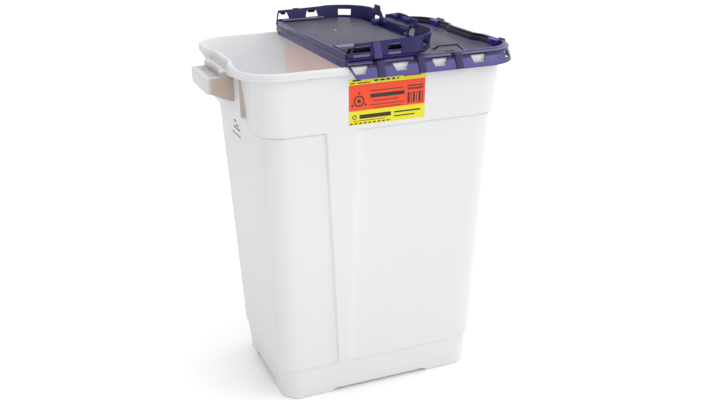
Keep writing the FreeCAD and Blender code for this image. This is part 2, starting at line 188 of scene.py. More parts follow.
def material(name, colour, rough, bump=0.0, bump_scale=900.0, rough_var=0.05, colour_var=0.02, coat=0.0, sss=0.0, sss_radius=(1, 1, 1), sss_scale=0.002, ior=1.49, stretch=None, spec=None, tint=None):
    """Moulded plastic: fine texture, slow drift of gloss and shade."""
    m = bpy.data.materials.new(name)
    m.use_nodes = True
    nt = m.node_tree
    bsdf = nt.nodes["Principled BSDF"]
    bsdf.inputs["IOR"].default_value = ior
    if spec is not None:
        bsdf.inputs["Specular IOR Level"].default_value = spec
    if coat:
        bsdf.inputs["Coat Weight"].default_value = coat
        bsdf.inputs["Coat Roughness"].default_value = 0.12
    if sss:
        bsdf.inputs["Subsurface Weight"].default_value = sss
        bsdf.inputs["Subsurface Radius"].default_value = sss_radius
        bsdf.inputs["Subsurface Scale"].default_value = sss_scale
    tc = nt.nodes.new("ShaderNodeTexCoord")
    mp = nt.nodes.new("ShaderNodeMapping")
    if stretch:
        mp.inputs["Scale"].default_value = stretch
    nt.links.new(tc.outputs["Object"], mp.inputs["Vector"])
    slow = nt.nodes.new("ShaderNodeTexNoise")
    slow.inputs["Scale"].default_value = 14.0
    slow.inputs["Detail"].default_value = 4.0
    nt.links.new(mp.outputs["Vector"], slow.inputs["Vector"])
    mid = nt.nodes.new("ShaderNodeTexNoise")
    mid.inputs["Scale"].default_value = 120.0
    mid.inputs["Detail"].default_value = 5.0
    nt.links.new(mp.outputs["Vector"], mid.inputs["Vector"])
    # colour drifts a little with both noises
    mul = nt.nodes.new("ShaderNodeMix")
    mul.data_type = "RGBA"
    a = tuple(c * (1 - colour_var) for c in colour[:3]) + (1,)
    b = tuple(min(1.0, c * (1 + colour_var)) for c in colour[:3]) + (1,)
    mul.inputs["A"].default_value = a
    mul.inputs["B"].default_value = b
    nt.links.new(slow.outputs["Fac"], mul.inputs["Factor"])
    out_colour = mul.outputs["Result"]
    if tint is not None:
        out_colour = tint(nt, tc, out_colour)
    nt.links.new(out_colour, bsdf.inputs["Base Color"])
    # gloss drifts with the middle noise
    mr = nt.nodes.new("ShaderNodeMapRange")
    mr.inputs["From Min"].default_value = 0.3
    mr.inputs["From Max"].default_value = 0.7
    mr.inputs["To Min"].default_value = max(0.02, rough - rough_var)
    mr.inputs["To Max"].default_value = min(1.0, rough + rough_var)
    nt.links.new(mid.outputs["Fac"], mr.inputs["Value"])
    nt.links.new(mr.outputs["Result"], bsdf.inputs["Roughness"])
    if bump:
        fine = nt.nodes.new("ShaderNodeTexNoise")
        fine.inputs["Scale"].default_value = bump_scale
        fine.inputs["Detail"].default_value = 3.0
        nt.links.new(mp.outputs["Vector"], fine.inputs["Vector"])
        add = nt.nodes.new("ShaderNodeMath")
        add.operation = "MULTIPLY_ADD"
        add.inputs[1].default_value = 0.6
        nt.links.new(fine.outputs["Fac"], add.inputs[0])
        nt.links.new(mid.outputs["Fac"], add.inputs[2])
        bp = nt.nodes.new("ShaderNodeBump")
        bp.inputs["Strength"].default_value = bump
        bp.inputs["Distance"].default_value = 0.0002
        nt.links.new(add.outputs["Value"], bp.inputs["Height"])
        nt.links.new(bp.outputs["Normal"], bsdf.inputs["Normal"])
    return m


def axis_masks(nt, tc, limits):
    """Product of soft ramps over object coordinates. limits: (axis, absolute, from, to)."""
    sep = nt.nodes.new("ShaderNodeSeparateXYZ")
    nt.links.new(tc.outputs["Object"], sep.inputs["Vector"])
    prev = None
    for axis, absolute, lo_, hi_ in limits:
        src = sep.outputs[axis]
        if absolute:
            ab = nt.nodes.new("ShaderNodeMath")
            ab.operation = "ABSOLUTE"
            nt.links.new(src, ab.inputs[0])
            src = ab.outputs[0]
        n = nt.nodes.new("ShaderNodeMapRange")
        n.interpolation_type = "SMOOTHSTEP"
        n.inputs["From Min"].default_value = min(lo_, hi_)
        n.inputs["From Max"].default_value = max(lo_, hi_)
        n.inputs["To Min"].default_value = 0.0 if lo_ < hi_ else 1.0
        n.inputs["To Max"].default_value = 1.0 if lo_ < hi_ else 0.0
        nt.links.new(src, n.inputs["Value"])
        if prev is None:
            prev = n.outputs["Result"]
        else:
            k = nt.nodes.new("ShaderNodeMath")
            k.operation = "MULTIPLY"
            nt.links.new(prev, k.inputs[0])
            nt.links.new(n.outputs["Result"], k.inputs[1])
            prev = k.outputs[0]
    return prev


def mixed(nt, factor, colour, rgb):
    mix = nt.nodes.new("ShaderNodeMix")
    mix.data_type = "RGBA"
    mix.inputs["B"].default_value = rgb
    nt.links.new(factor, mix.inputs["Factor"])
    nt.links.new(colour, mix.inputs["A"])
    return mix.outputs["Result"]


def back_label_painted_shade(nt, tc, colour):
    """Painted shade: where the label covers the outside of the back wall, the natural plastic is painted with a warm
    patch, the label's shade seen through the wall.
    """
    f = axis_masks(nt, tc, [("X", False, -0.0495, -0.0480), ("X", False, 0.0535, 0.0520), ("Z", False, 0.3870, 0.3890),
                            ("Z", False, 0.4500, 0.4380), ("Y", False, 0.1195, 0.1200), ("Y", False, 0.1400, 0.1395)])
    return mixed(nt, f, colour, lin(226, 204, 195))


def grip_painted_shade(nt, tc, colour):
    """Painted shade: the side faces of the arms are painted warmer towards the wall, and the trough on top greyer."""
    w = axis_masks(nt, tc, [("X", True, 0.2040, 0.1960), ("Y", True, 0.0410, 0.0414), ("Z", False, 0.4530, 0.4480)])
    c = mixed(nt, w, colour, lin(180, 167, 157))
    g = axis_masks(nt, tc, [("X", True, 0.2035, 0.1960), ("Y", True, 0.0412, 0.0370), ("Z", False, 0.4385, 0.4400), ("Z", False, 0.4462, 0.4450)])
    return mixed(nt, g, c, lin(184, 183, 183))


MAT_TUB = material("tub_pp_white", lin(213, 213, 215), 0.42, bump=0.10, bump_scale=700, colour_var=0.008, sss=0.3, sss_radius=(1.0, 0.95, 0.9), sss_scale=0.004, spec=0.32, tint=back_label_painted_shade)
# darker copy of the tub's white for the undersides of the step and the rim band: painted shade
MAT_STEP_PAINTED_SHADE = material("tub_pp_painted_shade", lin(190, 190, 192), 0.45, bump=0.10, bump_scale=700, colour_var=0.008, spec=0.2)
# warm, darker copy of the tub's white for faces turned along y: painted shade
MAT_SIDE_PAINTED_SHADE = material("tub_pp_side_painted_shade", lin(182, 170, 161), 0.42, bump=0.10, bump_scale=700, colour_var=0.02, sss=0.2, sss_radius=(1.0, 0.8, 0.6), sss_scale=0.004)
# slightly darker copy of the tub's white for the handles, carrying the painted shade of its tint
MAT_GRIP = material("tub_pp_white_grip", lin(209, 208, 208), 0.42, bump=0.12, bump_scale=700, colour_var=0.008, sss=0.15, sss_radius=(1.0, 0.85, 0.7), sss_scale=0.004, spec=0.32, tint=grip_painted_shade)
MAT_LID = material("lid_pp_violet", lin(52, 43, 104), 0.33, bump=0.12, bump_scale=600, colour_var=0.06, rough_var=0.06, sss=0.0)
# panels: rougher grained finish, with a greyer colour that paints the sheen of the white surroundings reflected at a
# low angle
MAT_LID_GRAIN_SHEEN = material("lid_pp_violet_grain_painted_sheen", lin(45, 43, 70), 0.44, bump=0.10, bump_scale=900, colour_var=0.015, rough_var=0.03)
# near-black copy of the violet for recesses, undercuts and the strips behind the windows: painted shade
MAT_LID_PAINTED_SHADE = material("lid_pp_violet_painted_shade", lin(15, 13, 36), 0.42, bump=0.12, bump_scale=600, colour_var=0.06, rough_var=0.06, spec=0.18)
# darker copy of the violet for the turned-over flap's skirt and its parts: painted shade
MAT_FLAP_PAINTED_SHADE = material("lid_pp_violet_flap_painted_shade", lin(24, 19, 80), 0.36, bump=0.12, bump_scale=600, colour_var=0.06, rough_var=0.06, spec=0.36)


def flare_painted_shade(nt, tc, colour):
    """Painted shade: the flare is painted darker round the far corners."""
    f = axis_masks(nt, tc, [("X", False, 0.1400, 0.1760)])
    return mixed(nt, f, colour, lin(34, 29, 82))


# lighter lilac copy of the violet for the flare, turned up to the light: painted light; its tint paints shade round the
# far corners
MAT_LID_FLARE_PAINTED_LIGHT_SHADE = material("lid_pp_violet_flare_painted_light_shade", lin(72, 66, 131), 0.36, bump=0.14, bump_scale=600, colour_var=0.05, rough_var=0.06, tint=flare_painted_shade)
# light grey-violet copy of the violet for faces turned up to the light: painted light
MAT_LID_PAINTED_LIGHT = material("lid_pp_violet_painted_light", lin(92, 88, 124), 0.34, bump=0.14, bump_scale=600, colour_var=0.05, rough_var=0.06)
# darker copy of the violet for the upright band round the windows and for the columns: painted shade
MAT_LID_RIB_PAINTED_SHADE = material("lid_pp_violet_rib_painted_shade", lin(34, 28, 76), 0.32, bump=0.12, bump_scale=600, colour_var=0.05, rough_var=0.05)
# brighter copy of the violet for catches, caps and up-facing tops: painted light
MAT_LID_LUG_PAINTED_LIGHT = material("lid_pp_violet_lug_painted_light", lin(50, 40, 140), 0.30, bump=0.1, bump_scale=700, colour_var=0.05)
MAT_GATE = material("lid_gate_mark", lin(205, 202, 210), 0.4, bump=0.1, colour_var=0.04)
# near-black copy for the hinge web, so the crease reads as a shadow line: painted shade
MAT_HINGE_PAINTED_SHADE = material("lid_pp_violet_web_painted_shade", lin(16, 13, 44), 0.30, bump=0.08, bump_scale=400, colour_var=0.08, stretch=(1, 0.15, 1))
MAT_RED = material("label_red", lin(228, 66, 20), 0.34, bump=0.04, colour_var=0.03)
MAT_YELLOW = material("label_yellow", lin(216, 208, 16), 0.34, bump=0.04, colour_var=0.03)
MAT_BLACK = material("label_black", lin(42, 26, 16), 0.40, bump=0.04, colour_var=0.05)
MAT_DARKRED = material("label_dark", lin(120, 30, 12), 0.38, bump=0.04, colour_var=0.05)
MAT_PLAIN = material("label_backing", lin(196, 178, 168), 0.45, bump=0.08, colour_var=0.03)
MAT_INK = material("print_ink_violet", lin(62, 54, 96), 0.5, bump=0.06, colour_var=0.06)
MAT_FLOOR = material("floor_paper", lin(254, 254, 254), 0.9, bump=0.02, colour_var=0.003, spec=0.1)


# ------------------------------------------------------------------ the tub
NA = 10          # segments in each corner
YI, YO = 31.0, 54.0   # notch
PLATE_Y = 67.0


def notch(y, nd):
    return nd * smooth((YO - abs(y)) / (YO - YI))


def pil_edges(z):
    f = min(1.0, max(0.0, (z - 45.4) / (382.2 - 45.4)))
    return lerp(-63.5, -80.7, f), lerp(-48.2, -38.4, f)


END_Y = [-PLATE_Y - 1.2, -PLATE_Y, -57.0, -54.0, -50.0, -46.0, -42.5, -39.0, -35.0, -31.0, -24.0, -16.0, -8.0]
END_Y = END_Y + [0.0] + [-y for y in END_Y[::-1]]


def tub_ring(hx, hy, r, z, nd=0.0, pil=0.0, zp=None, plate=None, rise=None, bow=0.0):
    """One level of the tub's outline, counter-clockwise from the middle of the front.

    pil: how far the pilaster stands out at this level; plate: x of the handle's
    backing plate; rise(y): height added in the middle of the two ends."""
    out = []
    zp = z if zp is None else zp
    xa, xb = pil_edges(zp)
    sx, sy = hx - r, hy - r
    arc = [k / NA for k in range(1, NA)]

    def long_side(sgn):
        # stations from -sx to sx on the front
        st = [(-sx, 0.0)] + [(lerp(-sx, xa - 1.4, k / 5), 0.0) for k in range(1, 5)]
        st += [(xa - 1.4, 0.0), (xa - 0.5, 0.22), (xa + 0.2, 0.72), (xa + 1.1, 0.96), (xa + 2.4, 1.0)]
        st += [(lerp(xa + 2.4, xb - 6.0, k / 3), 1.0) for k in (1, 2)]
        st += [(xb - 6.0, 1.0), (xb - 3.0, 0.93), (xb, 0.72), (xb + 3.0, 0.40), (xb + 6.0, 0.14), (xb + 9.5, 0.0)]
        st += [(lerp(xb + 9.5, sx, k / 9), 0.0) for k in range(1, 9)] + [(sx, 0.0)]
        return [(x, sgn * (hy + pil * w)) for x, w in st]

    def end_side(sgn):
        ys = [-sy, lerp(-sy, END_Y[0], 0.5)] + END_Y + [lerp(sy, END_Y[-1], 0.5), sy]
        res = []
        for y in ys:
            x = hx - notch(y, nd)
            if plate is not None and abs(y) <= PLATE_Y + 0.01:
                x = max(x, plate)
            res.append((sgn * x, y))
        return res

    front = long_side(-1)
    back = long_side(1)
    right = end_side(1)
    left = end_side(-1)
    p = list(front)
    p += [(sx + r * math.sin(a * math.pi / 2), -sy - r * math.cos(a * math.pi / 2)) for a in arc]
    p += right
    p += [(sx + r * math.cos(a * math.pi / 2), sy + r * math.sin(a * math.pi / 2)) for a in arc]
    p += back[::-1]
    p += [(-sx - r * math.sin(a * math.pi / 2), sy + r * math.cos(a * math.pi / 2)) for a in arc]
    p += left[::-1]
    p += [(-sx - r * math.cos(a * math.pi / 2), -sy - r * math.sin(a * math.pi / 2)) for a in arc]
    for x, y in p:
        dz = rise(x, y) if rise else 0.0
        if bow and abs(x) > 120:
            x += math.copysign(bow * smooth((abs(y) - 50) / 22) * (1 - smooth((abs(y) - 90) / 36)), x)
        out.append((x, y, z + dz))
    return out


def wall_dims(z, part):
    """(hx, hy, r) of the outside at height z."""
    if part == "base":
        f = z / 45.4
        return lerp(138.5, 142.0, f), lerp(95.5, 98.6, f), 25.0
    if part == "low":
        f = (z - 45.4) / (382.2 - 45.4)
        return lerp(144.2, 156.6, f), lerp(100.8, 127.2, f), lerp(25.1, 29.0, f)
    f = (z - 382.2) / (453.0 - 382.2)
    return lerp(161.7, 168.0, f), lerp(130.6, 134.5, f), lerp(30.5, 36.0, f)


def pil_out(z):
    """Proud height of the pilaster over the lower wall."""
    f = (z - 45.4) / (382.2 - 45.4)
    return lerp(2.2, 3.4, f)


def end_rise(x, y):
    """The step line bows up a little in the middle of the ends."""
    if abs(x) < 140:
        return 0.0
    return 5.0 * smooth((72.0 - abs(y)) / 44.0)


def build_tub():
    m = Mesh()
    rows = []

    def add(hx, hy, r, z, **kw):
        rows.append(tub_ring(hx, hy, r, z, **kw))

    # ---- outside, from the bottom up
    hx, hy, r = wall_dims(0, "base")
    for d, z in ((2.6, 0.0), (1.5, 0.15), (0.6, 0.7), (0.15, 1.6), (0.0, 2.8)):
        a = wall_dims(z, "base")
        add(a[0] - d, a[1] - d, a[2] - d * 0.8, z)
    for z in (8, 14, 22, 32, 40, 43.4):
        add(*wall_dims(z, "base"), z)
    b = wall_dims(45.4, "base")
    l0 = wall_dims(45.4, "low")
    for t, z, pl in ((0.06, 44.3, 0.05), (0.30, 44.95, 0.3), (0.72, 45.55, 0.72), (0.95, 46.4, 0.95)):
        add(lerp(b[0], l0[0], t), lerp(b[1], l0[1], t), lerp(b[2], l0[2], t), z, pil=2.2 * pl)
    for z in (48.0, 56, 75, 100, 125, 150, 175, 200, 225, 250, 275, 300, 320, 340, 355, 366, 373, 377, 379.4):
        add(*wall_dims(z, "low"), z, pil=pil_out(z), rise=lambda x, y, s=smooth((z - 340) / 35): s * end_rise(x, y))
    lo, up = wall_dims(382.2, "low"), wall_dims(382.2, "up")
    for t, z in ((0.03, 379.9), (0.16, 380.9), (0.5, 381.8), (0.85, 382.5), (0.98, 383.5)):
        add(lerp(lo[0], up[0], t), lerp(lo[1], up[1], t), lerp(lo[2], up[2], t), z, pil=3.4 * (1 - t), rise=end_rise)
    for z in (384.2, 388.0):
        add(*wall_dims(z, "up"), z, zp=382.2, rise=lambda x, y, s=1 - smooth((z - 383) / 12): s * end_rise(x, y))
    # backing plates grow out of the wall
    for z in (391.0, 394.0, 397.0):
        a = wall_dims(z, "up")
        add(*a, z, zp=382.2, plate=lerp(a[0], 170.0, smooth((z - 388.0) / 10.0)), rise=lambda x, y, s=1 - smooth((z - 383) / 12): s * end_rise(x, y))
    for z in (399.0, 405, 412, 420, 430, 440, 446.5):
        add(*wall_dims(z, "up"), z, zp=382.2, plate=170.0)
    # neck flares out into the rim band
    nk = wall_dims(450.0, "up")
    add(*nk, 450.0, zp=382.2, plate=170.3, nd=0.0)
    rim = (179.5, 141.0, 47.0)
    for t, z, nd in ((0.06, 451.9, 0.6), (0.22, 452.7, 1.8), (0.55, 453.05, 3.8), (0.86, 453.3, 5.4), (0.96, 453.8, 5.9), (1.0, 454.8, 6.0)):
        add(lerp(nk[0], rim[0], t), lerp(nk[1], rim[1], t), lerp(nk[2], rim[2], t), z, zp=382.2, nd=nd, plate=170.4 if t < 0.3 else None, bow=1.5 * t)
    for d, z in ((0.0, 456.3), (-0.35, 456.9), (-0.35, 457.5), (0.0, 458.1), (0.0, 460.4), (-0.35, 461.8), (-1.2, 462.7), (-2.3, 463.0), (-3.6, 463.0), (-4.7, 462.6), (-5.4, 461.7)):
        add(rim[0] + d, rim[1] + d, rim[2] + d, z, zp=382.2, nd=6.0, bow=1.5)
    # ---- inside, from the mouth down
    w = 2.0
    th = (166.2, 132.6, 34.4)
    mo = (173.9, 135.4, 41.4)
    for t, z, nd in ((0.12, 459.8, 5.8), (0.34, 457.4, 5.0), (0.62, 454.8, 3.2), (0.86, 452.2, 1.4), (1.0, 449.0, 0.2)):
        add(lerp(mo[0], th[0], t), lerp(mo[1], th[1], t), lerp(mo[2], th[2], t), z, zp=382.2, nd=nd, bow=1.5 * (1 - t))
    for z in (440, 430, 415, 400, 388):
        a = wall_dims(z, "up")
        add(a[0] - w, a[1] - w, a[2] - w, z, zp=382.2)
    for t, z in ((0.1, 385.0), (0.5, 383.6), (0.9, 381.0)):
        add(lerp(up[0], lo[0], t) - w, lerp(up[1], lo[1], t) - w, lerp(up[2], lo[2], t) - w, z, zp=382.2, pil=3.4 * t)
    for z in (376, 350, 300, 250, 200, 150, 100, 60, 50.0):
        a = wall_dims(z, "low")
        add(a[0] - w, a[1] - w, a[2] - w, z, pil=pil_out(z))
    for t, z in ((0.2, 48.0), (0.8, 45.4)):
        add(lerp(l0[0], b[0], t) - w, lerp(l0[1], b[1], t) - w, lerp(l0[2], b[2], t) - w, z, pil=2.0 * (1 - t))
    for z in (43.0, 32, 22):
        a = wall_dims(z, "base")
        add(a[0] - w, a[1] - w, a[2] - w, z)
    for d, z in ((2.4, 18.0), (3.6, 14.8), (5.6, 12.7), (8.2, 12.0)):
        a = wall_dims(z, "base")
        add(a[0] - d, a[1] - d, a[2] - d * 0.9, z)
    ids = m.rows(rows, closed=True)
    m.face(ids[-1])                 # floor inside
    m.face(ids[0][::-1])            # flat underside, before the arches are cut
    tub = m.build("tub_shell", [MAT_TUB])
    outward(tub)

    # arches under the base leave four corner feet
    def arch(half, height, run, axis, length):
        prof = [(-half, -6), (half, -6), (half, 0.0)]
        # rounded shoulders
        right = []
        for k in range(0, 9):
            t = k / 8
            right.append((half - run * t, height * smooth(t)))
        prof = [(-half - 4, -6), (half + 4, -6)] + right + [(-x, z) for x, z in right[::-1]]
        c = Mesh()
        if axis == "y":
            a = [(x, -length, z) for x, z in prof]
            bb = [(x, length, z) for x, z in prof]
        else:
            a = [(-length, x, z) for x, z in prof]
            bb = [(length, x, z) for x, z in prof]
        c.prism(a, bb)
        o = c.build("cut", [MAT_TUB])
        outward(o)
        return o

    cutters = [arch(76.5, 5.0, 11.0, "y", 150.0), arch(51.5, 9.0, 14.0, "x", 190.0)]
    for c in cutters:
        bo = tub.modifiers.new("cut", "BOOLEAN")
        bo.operation = "DIFFERENCE"
        bo.solver = "EXACT"
        bo.object = c
    applied(tub, 34.0)
    tub.data.materials.append(MAT_SIDE_PAINTED_SHADE)
    # painted shade: the side faces of the handles' backing plates, turned along y, take the warm shaded copy
    for f in tub.data.polygons:
        c = f.center
        if abs(c.x) > 0.160 and 0.0668 < abs(c.y) < 0.0685 and 0.396 < c.z < 0.4515 and abs(f.normal.y) > 0.5 and abs(c.x) > 0.1625:
            f.material_index = 1
    # painted shade: the undersides of the step and of the rim's band take a darker copy of the white, so they read as
    # thin shaded lines
    tub.data.materials.append(MAT_STEP_PAINTED_SHADE)
    for f in tub.data.polygons:
        c, n = f.center, f.normal
        if n.z < -0.45 and (0.3800 < c.z < 0.3885 or 0.4512 < c.z < 0.4540) and (abs(c.x) > 0.1250 or abs(c.y) > 0.1260):
            f.material_index = 2
    for c in cutters:
        bpy.data.objects.remove(c)
    return tub


tub = build_tub()
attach(tub, "container")
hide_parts("container_shell")


# ------------------------------------------------------------------ handles
def block_mesh(side, x0, x1, y0, y1, z0, z1):
    m = Mesh()
    c = [(x0, y0), (x1, y0), (x1, y1), (x0, y1)]
    m.prism([(side * x, y, z0) for x, y in c], [(side * x, y, z1) for x, y in c])
    o = m.build("root", [MAT_GRIP], weld=0)
    outward(o)
    return o


def build_handle(name, side):
    """Hooded finger grip: a bar with a trough behind it, hollow and open below."""
    X0, X1, Y1 = 169.2, 204.7, 41.7
    TOP, LOW, ROOT = 444.7, 424.3, 412.6
    ns, nx = 3, 16

    def plan(t, r0=3.4):
        """Stations round the three free sides at inset t: root front, outer side, root back."""
        r = max(0.5, r0 - t)
        xo, yo = X1 - t, Y1 - t
        cx, cy = xo - r, yo - r
        xs = [lerp(X0, cx, k / nx) for k in range(nx + 1)]
        ys = [lerp(-cy, cy, k / 20) for k in range(21)]
        p = [(x, -yo) for x in xs]
        p += [(cx + r * math.sin(a), -cy - r * math.cos(a)) for a in (math.pi / 8, math.pi / 4, 3 * math.pi / 8)]
        p += [(xo, y) for y in ys]
        p += [(cx + r * math.cos(a), cy + r * math.sin(a)) for a in (math.pi / 8, math.pi / 4, 3 * math.pi / 8)]
        p += [(x, yo) for x in xs[::-1]]
        return p

    def top(x, y):
        """Height of the upper surface."""
        ax, ay = abs(x), abs(y)
        z = TOP
        # trough behind the bar, an oval
        u = (ax - 187.5) / 9.0
        v = ay / 37.5
        s = max(0.0, 1.0 - max(0.0, abs(u)) ** 2.4 - v ** 4)
        z -= 4.4 * smooth(s * 1.6)
        return z

    def bottom(x):
        t = smooth((X1 - abs(x)) / (X1 - X0) * 1.02)
        return lerp(LOW, ROOT, t ** 0.9)

    m = Mesh()
    rows = []
    # inner wall of the hollow from the ceiling down, bottom edge, outer wall, top fillet
    for t, fz in ((3.6, 1.0), (3.2, 0.86), (3.0, 0.5), (2.9, 0.12)):
        rows.append([(x, y, lerp(bottom(x) + 0.7, top(x, y) - 3.2, fz)) for x, y in plan(t)])
    for t, dz in ((2.7, 0.25), (2.2, 0.0), (1.0, 0.0), (0.35, 0.25), (0.02, 0.9)):
        rows.append([(x, y, bottom(x) + dz) for x, y in plan(t)])
    for fz in (0.3, 0.6, 0.9):
        rows.append([(x, y, lerp(bottom(x) + 0.9, top(x, y) - 2.2, fz)) for x, y in plan(0.0)])
    for t, dz in ((0.0, -2.2), (0.12, -1.4), (0.55, -0.6), (1.2, -0.16), (2.2, 0.0)):
        rows.append([(x, y, top(x, y) + dz) for x, y in plan(t)])
    ids = [m.pts([(side * x, y, z) for x, y, z in r]) for r in rows]
    flip = side < 0
    for a, b in zip(ids[:-1], ids[1:]):
        m.strip(a, b, False, 0, flip)

    def cap(edge, row, fz, up):
        """Fills the area inside a three-sided outline with a height field."""
        pl = row
        n = nx + 1
        fr = pl[:n + 1]              # front side, root to the corner
        outer = pl[n + 1 - 0:len(pl) - n - 0]
        outer = pl[n:len(pl) - n]    # corner, outer side, corner
        fr = pl[:n]
        bk = pl[len(pl) - n:][::-1]
        cols = len(outer)
        grid = []
        for i in range(n):
            line = []
            for j in range(cols):
                # blend straight lines between the two long sides
                ty = (outer[j][1] - outer[0][1]) / (outer[-1][1] - outer[0][1])
                y = lerp(fr[i][1], bk[i][1], (j + 1) / (cols + 1))
                y = lerp(fr[i][1], bk[i][1], 0.02 + 0.96 * ty)
                x = lerp(fr[i][0], outer[j][0] if i == n - 1 else fr[i][0], 0)
                line.append((x, y))
            grid.append(line)
        gi = []
        for i in range(n):
            gi.append(m.pts([(side * x, y, fz(x, y)) for x, y in grid[i]]))
        e_fr, e_bk, e_out = edge[:n], edge[len(edge) - n:][::-1], edge[n:len(edge) - n]
        for i in range(n - 1):
            m.face((e_fr[i], e_fr[i + 1], gi[i + 1][0], gi[i][0]), 0, flip ^ (not up))
            for j in range(cols - 1):
                m.face((gi[i][j], gi[i + 1][j], gi[i + 1][j + 1], gi[i][j + 1]), 0, flip ^ (not up))
            m.face((gi[i][-1], gi[i + 1][-1], e_bk[i + 1], e_bk[i]), 0, flip ^ (not up))
        last = gi[-1]
        m.face((e_fr[-1], e_out[0], last[0]), 0, flip ^ (not up))
        for j in range(cols - 1):
            m.face((last[j], e_out[j], e_out[j + 1], last[j + 1]), 0, flip ^ (not up))
        m.face((last[-1], e_out[-1], e_bk[-1]), 0, flip ^ (not up))

    cap(ids[-1], [(x, y) for x, y in plan(2.2)], top, True)
    cap(ids[0], [(x, y) for x, y in plan(3.6)], lambda x, y: top(x, y) - 3.2, False)
    o = m.build(name, [MAT_GRIP, MAT_SIDE_PAINTED_SHADE], angle=38)
    outward(o)
    for f in o.data.polygons:
        if abs(f.normal.y) > 2:
            f.material_index = 1
    # hood behind the trough: an upright face, hollow in plan, that carries the rim's band
    h = Mesh()
    face = [(187.0 - 5.4 * (1 - (y / 42.2) ** 2), y) for y in [lerp(-42.2, 42.2, k / 24) for k in range(25)]]
    pl = face + [(171.0, 42.2), (171.0, -42.2)]
    h.prism([(side * x, y, 438.5) for x, y in pl], [(side * x, y, 451.7) for x, y in pl])
    hood = h.build("hood", [MAT_GRIP], weld=0)
    outward(hood)
    bevelled(hood, 0.9, 3, 30)
    root = block_mesh(side, 170.5, 176.4, -42.0, 42.0, 445.0, 454.2)
    # shelf that carries the rim's band from the hood out to the corner
    shelf = []
    for sg in (-1, 1):
        q = Mesh()
        pl = [(179.2, 41.0), (180.9, 52.0), (181.2, 66.0), (180.6, 84.0), (176.0, 92.0), (170.0, 92.0), (170.0, 41.0)]
        lo_z = [447.0, 448.6, 450.2, 452.2, 453.4, 453.4, 446.0]
        a_ = [(side * x, sg * y, zl) for (x, y), zl in zip(pl, lo_z)]
        b_ = [(side * x, sg * y, 454.4) for x, y in pl]
        q.prism(a_, b_)
        w_ = q.build("shelf", [MAT_GRIP], weld=0)
        outward(w_)
        shelf.append(bevelled(w_, 0.5, 2, 30))
    o = joined(name, [o, hood, root] + shelf)
    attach(o, "container")
    return o


grip_l = build_handle("grip_left", -1)
grip_r = build_handle("grip_right", 1)
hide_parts("handle_left")
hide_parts("handle_right")


# ------------------------------------------------------------------ the lid
RX, RY, RR, ND = 179.5, 141.0, 47.0, 6.0
AX, AY = RX - RR, RY - RR


